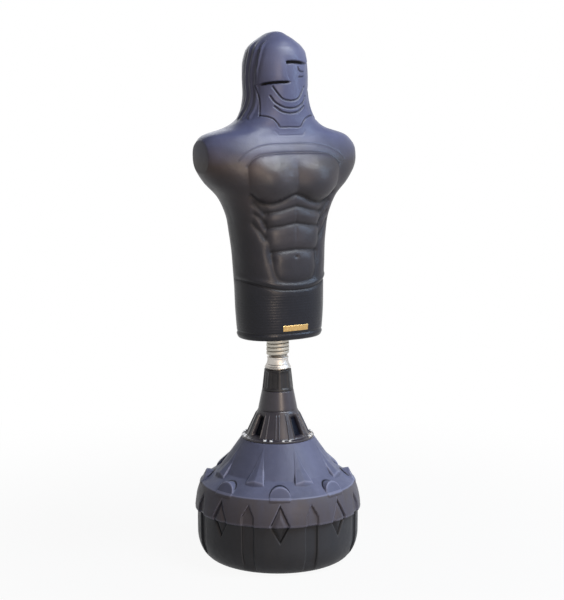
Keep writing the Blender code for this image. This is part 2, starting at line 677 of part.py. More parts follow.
def make_cover():
    """The bell and cone in one moulding, with its flange, a ledge over the guide and a threaded neck."""
    ledge = GUIDE_FLANGE_RADIUS - 4 * MM
    recess = GUIDE_FLANGE_RADIUS + 2 * MM
    ledge_height = FLANGE_BOTTOM + GUIDE_FLANGE_THICKNESS + TOUCH
    bore = BUSH_RADIUS + RUNNING
    outside = [(recess, FLANGE_BOTTOM), (FLANGE_RADIUS, FLANGE_BOTTOM), (FLANGE_RADIUS, FLANGE_TOP)]
    outside += bell_outline()
    outside += [(NECK_THREAD_RADIUS, COVER_TOP), (NECK_THREAD_RADIUS, NECK_TOP), (bore, NECK_TOP)]
    bush_bottom = NECK_TOP - BUSH_LENGTH
    inside = [(bore, bush_bottom - 4 * MM)]
    for height in (BELL_TOP, BELL_TOP - BELL_HEIGHT * 0.45, FLANGE_TOP + 14 * MM):
        inside.append((radius_at(bell_outline(), height) - COVER_WALL, height))
    inside += [(ledge, FLANGE_TOP + 4 * MM), (ledge, ledge_height), (recess, ledge_height)]
    cover = turned("cone_cover", outside + inside, LARGE_SEGMENTS, "slate_plastic", phase=PATTERN_TURN)
    quarter = TURN / POCKET_COUNT
    cuts = [pocket_cutter(PATTERN_TURN + POCKET_TURN + quarter * (i + 0.5)) for i in range(POCKET_COUNT)]
    boolean(cover, combined("cover_pockets", cuts), "DIFFERENCE")
    holes = bolt_hole_cutters("cover_bolt_holes", FLANGE_BOTTOM - CUT_PAST / 2, FLANGE_TOP + CUT_PAST / 2)
    boolean(cover, holes, "DIFFERENCE")
    return cover


def make_flange_bolts():
    """Hexagon bolts through the cover's flange into the tank's top."""
    head = FLANGE_TOP + TOUCH
    outline = [(0, head - BOLT_LENGTH), (BOLT_RADIUS, head - BOLT_LENGTH), (BOLT_RADIUS, head),
               (BOLT_HEAD_RADIUS, head), (BOLT_HEAD_RADIUS, head + BOLT_HEAD_HEIGHT),
               (0, head + BOLT_HEAD_HEIGHT)]
    bolts = []
    for i, angle in enumerate(bolt_angles()):
        place = (*on_circle(BOLT_CIRCLE, angle), 0)
        bolts.append(turned(f"flange_bolt_{i + 1:02d}", outline, BOLT_SIDES, "zinc", place))
    return bolts


def make_guides():
    """The steel guide tube hanging in the tank, and the nylon bush in the cover's neck."""
    flange_bottom = TANK_TOP_HEIGHT + TOUCH
    flange_top = flange_bottom + GUIDE_FLANGE_THICKNESS
    guide = turned("guide_tube", [
        (0, GUIDE_BOTTOM), (GUIDE_RADIUS, GUIDE_BOTTOM), (GUIDE_RADIUS, flange_bottom),
        (GUIDE_FLANGE_RADIUS, flange_bottom), (GUIDE_FLANGE_RADIUS, flange_top), (GUIDE_BORE, flange_top),
        (GUIDE_BORE, GUIDE_BOTTOM + GUIDE_WALL), (0, GUIDE_BOTTOM + GUIDE_WALL)],
        ROUND_SEGMENTS, "zinc")
    bore = MAST_RADIUS + BUSH_BORE_GAP
    bush_bottom = NECK_TOP - BUSH_LENGTH
    flange = NECK_TOP + TOUCH
    bush = turned("guide_bush", [
        (bore, bush_bottom), (BUSH_RADIUS, bush_bottom), (BUSH_RADIUS, flange), (BUSH_FLANGE_RADIUS, flange),
        (BUSH_FLANGE_RADIUS, BUSH_TOP), (bore, BUSH_TOP)],
        ROUND_SEGMENTS, "white_nylon")
    return guide, bush


def collet_taper(height):
    """The collet's outer radius at a height on its taper."""
    return COLLET_TAPER_RADIUS - COLLET_TAPER * (height - COLLET_SHOULDER)


def make_lock():
    """The fluted collar, its slip ring and the slit collet that grips the mast."""
    thread = NECK_THREAD_RADIUS + RUNNING
    shoulder = NECK_TOP + TOUCH * 3
    mouth = MAST_RADIUS + RUNNING * 3
    rim_radius = COLLAR_BOTTOM_RADIUS
    slope = (COLLAR_TOP_RADIUS - COLLAR_BOTTOM_RADIUS) / COLLAR_HEIGHT
    rim_top = COLLAR_BOTTOM + COLLAR_RIM
    grip_top = COLLAR_TOP - 4 * MM
    collar = turned("lock_collar", [
        (thread, COLLAR_BOTTOM), (rim_radius, COLLAR_BOTTOM), (rim_radius + slope * COLLAR_RIM, rim_top),
        (rim_radius + slope * (COLLAR_RIM + 2 * MM), rim_top + 2 * MM, COLLAR_FLUTE_DEPTH),
        (COLLAR_TOP_RADIUS - slope * 4 * MM, grip_top, COLLAR_FLUTE_DEPTH),
        (COLLAR_TOP_RADIUS - 2 * MM, COLLAR_TOP), (mouth, COLLAR_TOP), (mouth, COLLAR_CEILING),
        (COLLAR_CAVITY_RADIUS, COLLAR_CEILING), (COLLAR_CAVITY_RADIUS, shoulder), (thread, shoulder)],
        COLLAR_FLUTES * 2, "black_plastic")
    ring_bottom = SLIP_RING_TOP - SLIP_RING_HEIGHT
    ring_outer = COLLAR_CAVITY_RADIUS - RUNNING
    ring = turned("slip_ring", [
        (collet_taper(ring_bottom) + TOUCH, ring_bottom), (ring_outer, ring_bottom),
        (ring_outer, SLIP_RING_TOP), (collet_taper(SLIP_RING_TOP) + TOUCH, SLIP_RING_TOP)],
        ROUND_SEGMENTS, "white_nylon")
    bore = MAST_RADIUS + BUSH_BORE_GAP
    skirt = COLLAR_CAVITY_RADIUS - RUNNING * 2
    collet_top = SLIP_RING_TOP - 2 * MM
    skirt_top = min(COLLET_SHOULDER, ring_bottom - TOUCH)
    collet = turned("collet", [
        (bore, COLLET_BOTTOM), (skirt, COLLET_BOTTOM), (skirt, skirt_top - 3 * MM),
        (collet_taper(skirt_top), skirt_top), (collet_taper(collet_top), collet_top), (bore, collet_top)],
        ROUND_SEGMENTS, "white_nylon")
    slit_bottom = COLLET_BOTTOM + COLLET_SKIRT_HEIGHT * 0.4
    slits = []
    for i in range(COLLET_SLITS):
        half = COLLET_SLIT_WIDTH / 2
        points = [(out, side, height) for height in (slit_bottom, collet_top + 5 * MM)
                  for out, side in ((bore - 5 * MM, -half), (COLLAR_CAVITY_RADIUS + 5 * MM, -half),
                                    (COLLAR_CAVITY_RADIUS + 5 * MM, half), (bore - 5 * MM, half))]
        faces = [(0, 1, 2, 3), (4, 5, 6, 7), (0, 1, 5, 4), (1, 2, 6, 5), (2, 3, 7, 6), (3, 0, 4, 7)]
        slits.append(add_solid("slit", carried_out(points, TURN * (i + 0.25) / COLLET_SLITS), faces))
    boolean(collet, combined("collet_slits", slits), "DIFFERENCE")
    return collar, ring, collet


def make_mast():
    """The sliding tube with its closed head and swivel spigot, and the bush at its foot."""
    head_bottom = MAST_TOP - MAST_HEAD_THICKNESS
    inner = MAST_RADIUS - MAST_WALL
    drill = SWIVEL_BOLT_RADIUS + RUNNING
    spigot_top = SEAT_SPIGOT_TOP - 1 * MM
    drill_bottom = SWIVEL_HEAD_BOTTOM - SWIVEL_BOLT_LENGTH - 4 * MM
    mast = turned("mast", [
        (inner, MAST_BOTTOM), (MAST_RADIUS, MAST_BOTTOM), (MAST_RADIUS, MAST_TOP), (SPIGOT_RADIUS, MAST_TOP),
        (SPIGOT_RADIUS, spigot_top), (drill, spigot_top), (drill, drill_bottom), (0, drill_bottom),
        (0, head_bottom), (inner, head_bottom)],
        ROUND_SEGMENTS, "satin_aluminium")
    bush_radius = GUIDE_BORE - RUNNING
    bush_top = MAST_BOTTOM + FOOT_BUSH_LENGTH
    seat = MAST_BOTTOM - TOUCH
    bush_end = seat - FOOT_BUSH_FLOOR
    bush = turned("mast_foot_bush", [
        (inner + 1 * MM, bush_end), (bush_radius, bush_end), (bush_radius, bush_top),
        (MAST_RADIUS + TOUCH, bush_top), (MAST_RADIUS + TOUCH, seat), (inner + 1 * MM, seat)],
        ROUND_SEGMENTS, "white_nylon")
    return mast, bush


def ring_washer(name, inner, outer, bottom, segments, finish):
    top = bottom + WASHER_THICKNESS
    return turned(name, [(inner, bottom), (outer, bottom), (outer, top), (inner, top)], segments, finish)


def make_swivel():
    """The washers and the bolt that hold the spring seat down on the mast's spigot."""
    thrust = ring_washer("thrust_washer", SPIGOT_RADIUS + RUNNING, THRUST_WASHER_RADIUS, THRUST_BOTTOM,
                         ROUND_SEGMENTS, "bronze")
    washer = ring_washer("swivel_washer", SWIVEL_BOLT_RADIUS + RUNNING, SWIVEL_WASHER_RADIUS,
                         SWIVEL_WASHER_BOTTOM, SMALL_SEGMENTS, "zinc")
    head = SWIVEL_HEAD_BOTTOM
    head_top = head + SWIVEL_HEAD_HEIGHT
    shank_end = head - SWIVEL_BOLT_LENGTH
    bolt = turned("swivel_bolt", [
        (0, shank_end), (SWIVEL_BOLT_RADIUS, shank_end), (SWIVEL_BOLT_RADIUS, head),
        (SWIVEL_HEAD_RADIUS, head), (SWIVEL_HEAD_RADIUS, head_top), (0, head_top)],
        2 * BOLT_SIDES, "zinc")
    return thrust, washer, bolt


def spring_spigot_radius():
    """The radius that clears the inside of the coils, whose straight runs cut inside their circle."""
    return COIL_RADIUS * math.cos(math.pi / COIL_POINTS) - WIRE_RADIUS - SPIGOT_IN_SPRING_GAP


def make_spring_seat():
    """The flared seat: a skirt over the mast's head, a neck under the coils and a spigot inside them."""
    bore = SPIGOT_RADIUS + RUNNING
    hub = MAST_RADIUS + 1.5 * MM
    flare = curve_points((SEAT_RIM_RADIUS, SEAT_RIM_HEIGHT + 2 * MM),
                         (SEAT_RADIUS + 0.5 * MM, SEAT_RIM_HEIGHT + 14 * MM),
                         (SEAT_RADIUS, SEAT_RIM_HEIGHT + 28 * MM), 4)
    outline = [(bore, SEAT_HUB), (hub, SEAT_HUB), (hub, SEAT_RIM_HEIGHT), (SEAT_RIM_RADIUS, SEAT_RIM_HEIGHT)]
    outline += flare + [(SEAT_RADIUS, SEAT_TOP), (spring_spigot_radius(), SEAT_TOP),
                        (spring_spigot_radius(), SEAT_SPIGOT_TOP), (bore, SEAT_SPIGOT_TOP)]
    return turned("spring_seat", outline, ROUND_SEGMENTS, "satin_aluminium")


def coil_points():
    """Points along the helix of the spring's wire."""
    count = int(round(COIL_TURNS * COIL_POINTS))
    turn = TURN * COIL_TURNS * np.arange(count + 1) / count
    height = SPRING_START + COIL_PITCH * turn / TURN
    return np.stack([COIL_RADIUS * np.cos(turn), COIL_RADIUS * np.sin(turn), height], axis=1)


def least_gap(points):
    """The least distance between wire surfaces of points that lie more than half a turn apart."""
    apart = COIL_POINTS // 2
    gaps = [np.linalg.norm(points[i + apart:] - points[i], axis=1).min() for i in range(len(points) - apart)]
    return min(gaps) - 2 * WIRE_RADIUS


def make_spring():
    """The close-wound neck spring, one unbroken tube."""
    points = coil_points()
    print(f"neck_spring: least gap between coils {least_gap(points) / MM:.2f} mm")
    curve = bpy.data.curves.new("neck_spring", "CURVE")
    curve.dimensions = "3D"
    curve.bevel_depth = WIRE_RADIUS
    curve.bevel_resolution = 1
    curve.use_fill_caps = True
    spline = curve.splines.new("POLY")
    spline.points.add(len(points) - 1)
    for point, place in zip(spline.points, points):
        point.co = (*place, 1.0)
    curve.materials.append(material_for("neck_spring", "silver_steel"))
    spring = bpy.data.objects.new("neck_spring", curve)
    bpy.context.scene.collection.objects.link(spring)
    return spring


def screw_angles():
    return [TURN * (i + 0.5) / PLUG_SCREWS for i in range(PLUG_SCREWS)]


def plate_disc(name, clearance, finish=None):
    """The core plate's oval, or with a clearance the room that it takes in the foam."""
    half_width = CORE_PLATE_HALF_WIDTH + 2 * clearance
    low, high = PLATE_BOTTOM - clearance, PLATE_TOP + clearance
    return turned(name, [(0, low), (half_width, low), (half_width, high), (0, high)], LARGE_SEGMENTS, finish,
                  squash=CORE_PLATE_HALF_DEPTH / CORE_PLATE_HALF_WIDTH)


def make_core():
    """The plug on top of the spring, and the plate, tube and cap that the foam is moulded round."""
    spigot = spring_spigot_radius()
    spigot_end = PLUG_BOTTOM - SPRING_SPIGOT_HEIGHT
    plug = turned("spring_plug", [
        (0, spigot_end), (spigot, spigot_end), (spigot, PLUG_BOTTOM), (PLUG_FLANGE_RADIUS, PLUG_BOTTOM),
        (PLUG_FLANGE_RADIUS, PLUG_TOP), (0, PLUG_TOP)],
        ROUND_SEGMENTS, "satin_aluminium")
    low, high = PLUG_BOTTOM - CUT_PAST / 2, PLATE_TOP + CUT_PAST / 2
    holes = [round_cutter("hole", PLUG_SCREW_RADIUS + RUNNING, low, high, SCREW_SEGMENTS,
                          on_circle(PLUG_SCREW_CIRCLE, angle)) for angle in screw_angles()]
    through = combined("core_screw_holes", holes)
    boolean(plug, through, "DIFFERENCE")
    plate = plate_disc("core_plate", 0.0, "zinc")
    boolean(plate, through, "DIFFERENCE")
    head = PLUG_BOTTOM - TOUCH
    head_end = head - PLUG_SCREW_HEAD_HEIGHT
    screw_top = PLATE_TOP - 0.5 * MM
    screw_outline = [(0, screw_top), (PLUG_SCREW_RADIUS, screw_top), (PLUG_SCREW_RADIUS, head),
                     (PLUG_SCREW_HEAD_RADIUS, head), (PLUG_SCREW_HEAD_RADIUS, head_end), (0, head_end)]
    screws = []
    for i, angle in enumerate(screw_angles()):
        place = (*on_circle(PLUG_SCREW_CIRCLE, angle), 0)
        screws.append(turned(f"plug_screw_{i + 1}", screw_outline, SCREW_SEGMENTS, "zinc", place))
    tube_bottom = PLATE_TOP + TOUCH
    inner = CORE_TUBE_RADIUS - CORE_TUBE_WALL
    tube = turned("core_tube", [
        (inner, tube_bottom), (CORE_TUBE_RADIUS, tube_bottom), (CORE_TUBE_RADIUS, CORE_TUBE_TOP),
        (inner, CORE_TUBE_TOP)],
        SMALL_SEGMENTS, "zinc")
    cap_bottom = CORE_TUBE_TOP + TOUCH
    spigot_foot = cap_bottom - CORE_CAP_DEPTH
    cap = turned("core_cap", [
        (0, spigot_foot), (inner - TOUCH, spigot_foot), (inner - TOUCH, cap_bottom),
        (CORE_TUBE_RADIUS, cap_bottom), (CORE_TUBE_RADIUS, cap_bottom + CORE_CAP_THICKNESS),
        (0, cap_bottom + CORE_CAP_THICKNESS)],
        SMALL_SEGMENTS, "white_nylon")
    cup_top = PLUG_TOP - TOUCH
    cup = turned("neck_cup", [
        (CUP_RADIUS - CUP_WALL, FIGURE_BOTTOM), (CUP_RADIUS, FIGURE_BOTTOM), (CUP_RADIUS, cup_top),
        (CUP_RADIUS - CUP_WALL, cup_top)],
        GRID_AROUND, "black_plastic")
    return [plug, plate, tube, cap, cup] + screws


def section_values(heights):
    """The figure's section sizes at given heights, smoothly through the stations and without overshoot."""
    table = np.array(FIGURE_SECTIONS, float)
    table[:, [0, 1, 2, 3, 5]] *= MM
    station, values = FIGURE_BOTTOM + table[:, 0], table[:, 1:]
    step = np.diff(station)[:, None]
    rise = np.diff(values, axis=0) / step
    slope = np.zeros_like(values)
    same_way = rise[:-1] * rise[1:] > 0
    weight = step[:-1] + step[1:]
    mean = (rise[:-1] * step[1:] + rise[1:] * step[:-1]) / weight
    slope[1:-1] = np.where(same_way, mean, 0.0)
    slope[0], slope[-1] = rise[0], rise[-1]
    place = np.clip(np.searchsorted(station, heights, side="right") - 1, 0, len(station) - 2)
    t = ((heights - station[place]) / step[place, 0])[:, None]
    h = step[place]
    return ((2 * t**3 - 3 * t**2 + 1) * values[place] + (t**3 - 2 * t**2 + t) * h * slope[place]
            + (3 * t**2 - 2 * t**3) * values[place + 1] + (t**3 - t**2) * h * slope[place + 1])


def dome(distance, reach):
    """One inside the reach of a low mound, falling smoothly to nothing at its edge."""
    t = np.clip(1 - (distance / reach) ** 2, 0, 1)
    return t * t


def figure_ring(height, shrink, around):
    """One horizontal ring of the figure: a squarish oval, flat at the arm stumps, raised over the chest."""
    half_width, front, back, square, behind = section_values(np.array([height]))[0]
    angle = TURN * np.arange(around) / around
    c, s = np.cos(angle), np.sin(angle)
    x = (half_width - shrink) * np.sign(c) * np.abs(c) ** (2 / square)
    depth = np.where(s > 0, back, front) - shrink
    y = behind + depth * np.sign(s) * np.abs(s) ** (2 / square)
    limit = STUMP_REACH - shrink
    over = np.maximum(np.abs(x) - limit, 0)
    x = np.sign(x) * (np.minimum(np.abs(x), limit) + over * STUMP_DISHING)
    across = dome(np.abs(x) - PEC_CENTRE_X, PEC_HALF_WIDTH)
    chest = PEC_RISE * across * dome(height - PEC_CENTRE_Z, PEC_HALF_HEIGHT)
    y = np.where(s < 0, y - chest * np.abs(s), y)
    return np.stack([x, y, np.full(around, height)], axis=1)


def figure_levels():
    """How far up each row of the figure lies, from 0 above its bottom edge to 1 under its crown."""
    heights = [FIGURE_BOTTOM + FIGURE_EDGE]
    for section in FIGURE_SECTIONS[1:]:
        height = FIGURE_BOTTOM + section[0] * MM
        if height - heights[-1] > WIDEST_ROW:
            heights.append((heights[-1] + height) / 2)
        heights.append(height)
    low, high = heights[0], heights[-1]
    return [(height - low) / (high - low) for height in heights[1:]]


def figure_rings(shrink, slack=0.0):
    """Rings of the figure from the hole in its underside to just under its crown.

    They are set in by shrink, and by slack more at the same heights. Every stack has the same rows, so
    that one fits inside another.
    """
    bottom = FIGURE_BOTTOM + shrink
    angle = TURN * np.arange(GRID_AROUND) / GRID_AROUND
    hole = np.stack([FIGURE_HOLE_RADIUS * np.cos(angle), FIGURE_HOLE_RADIUS * np.sin(angle),
                     np.full(GRID_AROUND, bottom + slack)], axis=1)
    rings = [hole]
    for t in (0.0, 0.5, 1.0):
        edge = FIGURE_EDGE * (1 - math.sin(math.pi / 2 * t))
        rise = max(slack, FIGURE_EDGE * (1 - math.cos(math.pi / 2 * t)))
        rings.append(figure_ring(bottom + rise, shrink + slack + edge, GRID_AROUND))
    crown = FIGURE_BOTTOM + FIGURE_SECTIONS[-1][0] * MM - shrink
    low = bottom + FIGURE_EDGE
    for level in figure_levels():
        rings.append(figure_ring(low + (crown - low) * level, shrink + slack, GRID_AROUND))
    return rings


def figure_shell(rings, crown_height, first):
    """Vertices and faces of a stack of rings closed by one vertex at the crown.

    The faces are triangles split the same way in every stack, so nested stacks can't cross.
    """
    around = len(rings[0])
    centre = rings[-1].mean(axis=0)
    vertices = np.concatenate(rings + [np.array([[centre[0], centre[1], crown_height]])])
    faces = []
    for row in range(len(rings) - 1):
        for i in range(around):
            j = (i + 1) % around
            a, b = first + row * around, first + (row + 1) * around
            faces += [(a + i, a + j, b + j), (a + i, b + j, b + i)]
    last = first + (len(rings) - 1) * around
    top = first + len(vertices) - 1
    faces += [(last + i, last + (i + 1) % around, top) for i in range(around)]
    return vertices, faces


def make_figure():
    """The foam body and the skin that is moulded over it."""
    outer_vertices, outer_faces = figure_shell(figure_rings(0.0), FIGURE_TOP, 0)
    first = len(outer_vertices)
    inner_vertices, inner_faces = figure_shell(figure_rings(SKIN), FIGURE_TOP - SKIN, first)
    faces = outer_faces + [tuple(reversed(face)) for face in inner_faces]
    for i in range(GRID_AROUND):
        j = (i + 1) % GRID_AROUND
        faces.append((i, first + i, first + j, j))
    skin = add_solid("figure_skin", np.concatenate([outer_vertices, inner_vertices]), faces, "navy_skin")
    slack = TOUCH * 1.5
    rings = figure_rings(SKIN, slack)
    foam_vertices, foam_faces = figure_shell(rings, FIGURE_TOP - SKIN - slack, 0)
    foam_faces.append(tuple(range(GRID_AROUND)))
    foam = add_solid("figure_foam", foam_vertices, foam_faces, "foam")
    inside_plate = (PLATE_BOTTOM + PLATE_TOP) / 2
    below = FIGURE_BOTTOM - CUT_PAST
    cup = round_cutter("foam_cup_hole", FIGURE_HOLE_RADIUS, below, inside_plate, GRID_AROUND)
    boolean(foam, cup, "DIFFERENCE")
    boolean(foam, plate_disc("foam_plate_hole", TOUCH), "DIFFERENCE")
    tube_room = CORE_TUBE_TOP + CORE_CAP_THICKNESS + TOUCH * 2
    tube = round_cutter("foam_tube_hole", CORE_TUBE_RADIUS + TOUCH, inside_plate, tube_room, SMALL_SEGMENTS)
    boolean(foam, tube, "DIFFERENCE")
    return [foam, skin]


def carry(name, place, pieces, parent=None):
    """An empty at a place on a joint's axis that carries the pieces of one moving body."""
    empty = bpy.data.objects.new(name, None)
    empty.empty_display_size = 30 * MM
    empty.location = place
    bpy.context.scene.collection.objects.link(empty)
    if parent is not None:
        empty.parent = parent
        empty.matrix_parent_inverse = Matrix.Translation(-Vector(parent["place"]))
    empty["place"] = place
    turn_back = Matrix.Translation(-Vector(place))
    for piece in pieces:
        piece.parent = empty
        piece.matrix_parent_inverse = turn_back
    return empty


def build():
    clear_scene()
    make_tank()
    make_ballast()
    make_cover()
    make_flange_bolts()
    make_guides()
    collar, ring, collet = make_lock()
    carry("lock_axis", (0, 0, COLLAR_BOTTOM), [collar, ring])
    cap, seal = make_filler_cap()
    carry("filler_axis", (*filler_centre(), FILLER_BOSS_TOP), [cap, seal])
    mast, foot = make_mast()
    thrust, washer, bolt = make_swivel()
    slide = carry("mast_axis", (0, 0, 0), [mast, foot, thrust, washer, bolt])
    swivel = carry("swivel_axis", (0, 0, 0), [make_spring_seat()], slide)
    flex = (0, 0, FLEX_HEIGHT)
    bend = carry("neck_forward_axis", flex, [make_spring()], swivel)
    carry("neck_side_axis", flex, make_core() + make_figure(), bend)


build()
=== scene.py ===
"""Looks of the free-standing boxing dummy: moulded figure, neck spring, twist lock and ballast base.

Lengths are metres. The figure faces -Y, and the mast's axis is the Z axis.
"""

import json
import math

import bpy
import numpy as np
from mathutils import Euler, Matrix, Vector


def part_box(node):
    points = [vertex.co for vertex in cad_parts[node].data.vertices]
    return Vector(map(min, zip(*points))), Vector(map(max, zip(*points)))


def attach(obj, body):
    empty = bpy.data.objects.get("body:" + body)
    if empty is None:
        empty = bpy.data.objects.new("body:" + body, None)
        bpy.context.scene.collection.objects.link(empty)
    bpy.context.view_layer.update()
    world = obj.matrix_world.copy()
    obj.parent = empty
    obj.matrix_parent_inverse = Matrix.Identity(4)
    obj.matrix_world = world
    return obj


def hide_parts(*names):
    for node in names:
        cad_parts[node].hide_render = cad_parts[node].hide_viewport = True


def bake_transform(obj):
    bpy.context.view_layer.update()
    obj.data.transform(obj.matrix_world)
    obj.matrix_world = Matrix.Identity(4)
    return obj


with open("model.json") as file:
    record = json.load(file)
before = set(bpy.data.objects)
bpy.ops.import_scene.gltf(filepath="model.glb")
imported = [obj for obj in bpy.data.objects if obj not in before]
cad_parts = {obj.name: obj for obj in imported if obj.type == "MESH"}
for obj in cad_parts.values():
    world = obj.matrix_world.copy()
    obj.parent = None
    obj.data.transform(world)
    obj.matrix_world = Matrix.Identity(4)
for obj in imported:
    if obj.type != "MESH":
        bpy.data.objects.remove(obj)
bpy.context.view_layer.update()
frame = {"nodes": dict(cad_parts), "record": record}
MM = 0.001
TURN = 2 * math.pi

# Camera: the photograph's viewpoint, fitted to the object's outline
VIEW_AZIMUTH = math.radians(-31)
VIEW_DISTANCE = 4.5
VIEW_HEIGHT = 1.510
VIEW_PITCH = math.radians(8.404)
VIEW_YAW = math.radians(0.176)
FOCAL_PIXELS = 1406.5
PHOTO_HEIGHT = 600
SENSOR_WIDTH = 36

# Share of plain white in the floor around the object
NEAR_WHITE = 0.93
# Radii in metres between which that share rises to one
WHITE_FADE = (0.5, 2.2)
STAGE_GREY = (0.34, 0.34, 0.35)
STAGE_RADIUS = 12.0
BACKDROP_HEIGHT = 9.0
STAGE_COLUMNS = 96

# Lamps: direction round the axis and upwards in degrees, distance, width and height, power in watts,
# colour, and the height on the axis that the lamp faces
LAMPS = {
    "key_softbox": (30, 52, 3.4, (1.6, 1.6), 180, (0.90, 0.95, 1.0), 0.95),
    "front_softbox": (-8, 10, 4.2, (0.55, 2.4), 88, (1.0, 0.80, 0.62), 0.95),
    "back_softbox": (165, 30, 4.0, (2.2, 2.2), 26, (0.92, 0.95, 1.0), 0.8),
    "side_softbox": (50, 18, 3.6, (0.5, 1.8), 56, (0.50, 0.71, 1.0), 1.2),
}
WORLD_COLOUR = (0.90, 0.94, 1.0)
WORLD_STRENGTH = 0.06

# Tones: pairs of a dark and a light one between which a finish varies, and single ones
WAIST_TONES = ((0.006, 0.007, 0.012), (0.012, 0.012, 0.017))
CHARCOAL_TONES = ((0.018, 0.018, 0.023), (0.035, 0.031, 0.036))
# Slate blue of the head and shoulders: partly painted cool light from above
SLATE_TONES = ((0.051, 0.057, 0.108), (0.078, 0.082, 0.138))
# Painted warm reflection on the upper chest and shoulders
PAINTED_WARM_REFLECTION = (0.100, 0.072, 0.060)
# Painted shade in the figure's grooves
PAINTED_CREASE_SHADE = (0.004, 0.004, 0.006)
# The upper moulding's blue is partly the plastic's own and partly painted cool light from above; its side
# tone is painted shade on the upright band under the shoulder; the lower moulding is darker partly as painted
# shade under the lip.
UPPER_TANK_TONES = ((0.072, 0.079, 0.127), (0.098, 0.106, 0.170))
UPPER_TANK_SIDE_SHADE = (0.071, 0.066, 0.077)
LOWER_TANK_TONES = ((0.021, 0.024, 0.031), (0.031, 0.034, 0.041))
LOWER_TANK_SIDE = (0.034, 0.035, 0.040)
COVER_TONES = ((0.019, 0.017, 0.024), (0.034, 0.029, 0.038))
# Painted shade in the cover's pockets
POCKET_PAINTED_SHADE = (0.004, 0.005, 0.010)
BLACK_TONES = ((0.014, 0.014, 0.016), (0.028, 0.026, 0.028))
FOIL_TONES = ((0.48, 0.29, 0.10), (0.72, 0.50, 0.22))

# Figure
FIGURE_BOTTOM = 730 * MM
FIGURE_CROWN = 1693 * MM
CROWN_FADE = 1684 * MM
FIGURE_TOP = 1700 * MM
FIGURE_EDGE = 10 * MM
HOLE_RADIUS = 59.3 * MM
SKIN_DEPTH = 14 * MM
FOAM_GAP = 1 * MM
STUMP_REACH = 272 * MM
STUMP_DISHING = 0.2
PEC_RISE = 15 * MM
PEC_CENTRE_X = 84 * MM
PEC_CENTRE_Z = 1238 * MM
PEC_HALF_WIDTH = 96 * MM
PEC_HALF_HEIGHT = 74 * MM
FIGURE_COLUMNS = 400
FRONT_CROWDING = 0.5
TORSO_ROWS = 270
HEAD_ROWS = 165
NECK_HEIGHT = 1420 * MM

# Heights of the figure's sections in millimetres: half width, depth in front, depth behind,
# squareness of the outline, and how far its centre lies behind the mast's axis
FIGURE_SECTIONS = (
    (730, 141, 101, 96, 2.3, -10),
    (806, 147, 108, 99, 2.3, -8),
    (897, 149, 114, 103, 2.3, -5),
    (989, 154, 117, 110, 2.3, -2),
    (1066, 161.5, 118, 115, 2.3, 2),
    (1131, 174, 122.5, 120.5, 2.35, 4),
    (1182, 200, 127, 125, 2.4, 6),
    (1232, 250, 131, 127, 2.4, 9),
    (1278, 281, 129, 126, 2.4, 10),
    (1322, 288.5, 118, 122, 2.4, 12),
    (1354, 277, 106, 115, 2.35, 14),
    (1379, 246, 97, 108, 2.3, 16),
    (1399, 177, 92, 103, 2.2, 14),
    (1422, 138, 89, 99, 2.15, 10),
    (1448, 119, 90, 100, 2.1, 11),
    (1486, 106, 94, 103, 2.1, 14),
    (1565, 102.5, 96, 105, 2.1, 17.5),
    (1615, 98, 92, 101, 2.1, 19.5),
    (1651, 84, 79, 89, 2.05, 19),
    (1679, 51.5, 56, 63.5, 2.0, 16),
    (1693, 29, 32, 37, 2.0, 17),
)

# Lines moulded in the figure, in millimetres: the way round from the middle of the front, and height.
# The lines of the first group lie on both sides alike.
CHEST_LINE = ((0, 1350), (75, 1349), (127, 1341), (170, 1323), (197, 1303))
CHEST_GROOVE = ((0, 1324), (56, 1323), (118, 1318), (150, 1304), (172, 1284))
PEC_OUTLINE = ((-60, 1326), (56, 1324), (118, 1319), (150, 1305), (169, 1278), (170, 1232), (157, 1194),
               (131, 1174), (105, 1167), (80, 1167), (52, 1174), (26, 1186), (2, 1195), (-60, 1195))
PEC_CREASE = ((0, 1194), (26, 1184), (52, 1172), (80, 1165), (105, 1165), (131, 1172), (158, 1193))
AB_CREASES = (
    ((0, 1157), (30, 1150), (60, 1142), (98, 1136)),
    ((0, 1103), (28, 1099), (57, 1094), (100, 1090)),
    ((0, 1021), (44, 1018), (84, 1014)),
)
AB_SIDE = ((122, 1168), (107, 1140), (106, 1095), (93, 1030), (84, 990))
RIB_CREASES = (
    ((146, 1166), (131, 1152), (112, 1135)),
    ((142, 1134), (126, 1122), (106, 1104)),
    ((146, 1104), (128, 1084), (109, 1061)),
)
BELLY_EDGE = ((84, 995), (79, 956), (64, 928), (38, 919), (0, 917))
BELT_GROOVE = ((0, 892), (44, 894), (76, 898), (116, 907), (157, 917), (215, 921), (330, 917))
BELT_RIDGE = ((0, 906), (50, 909), (86, 914), (128, 923), (160, 930), (215, 934), (330, 930))
COLLAR_LINE = ((0, 1402), (34, 1402), (44, 1411), (53, 1422), (66, 1431), (86, 1436), (102, 1438))
COLLAR_LOWER_LINE = ((0, 1377), (40, 1377), (47, 1383), (56, 1392))
CHEEK_LINE = ((102, 1438), (101, 1462), (103, 1487), (111, 1511), (118, 1530))
CHIN_GROOVES = (
    ((0, 1483), (25, 1488), (42, 1503), (60, 1527)),
    ((0, 1460), (26, 1464), (53, 1479), (68, 1498)),
    ((0, 1444), (30, 1450), (55, 1466)),
)
HOOD_RIDGES = (
    ((30, 1682), (62, 1670), (84, 1649), (99, 1615), (110, 1578), (116, 1540), (113, 1500), (118, 1465),
     (136, 1432)),
    ((52, 1683), (95, 1662), (119, 1627), (133, 1591), (138, 1545), (134, 1500), (142, 1465), (164, 1430)),
    ((68, 1685), (122, 1663), (143, 1628), (157, 1591), (162, 1545), (158, 1500), (166, 1468), (190, 1430)),
)
NAVEL_HEIGHT = 998 * MM
HEM_HEIGHT = 745 * MM
FOIL_BOTTOM = 761 * MM
FOIL_TOP = 779 * MM
FOIL_HALF_LENGTH = 46 * MM
FOIL_ROWS = 15
FOAM_COLUMNS = 128
FOAM_ROWS = 120
WAIST_LINE_SPACING = 8.8 * MM

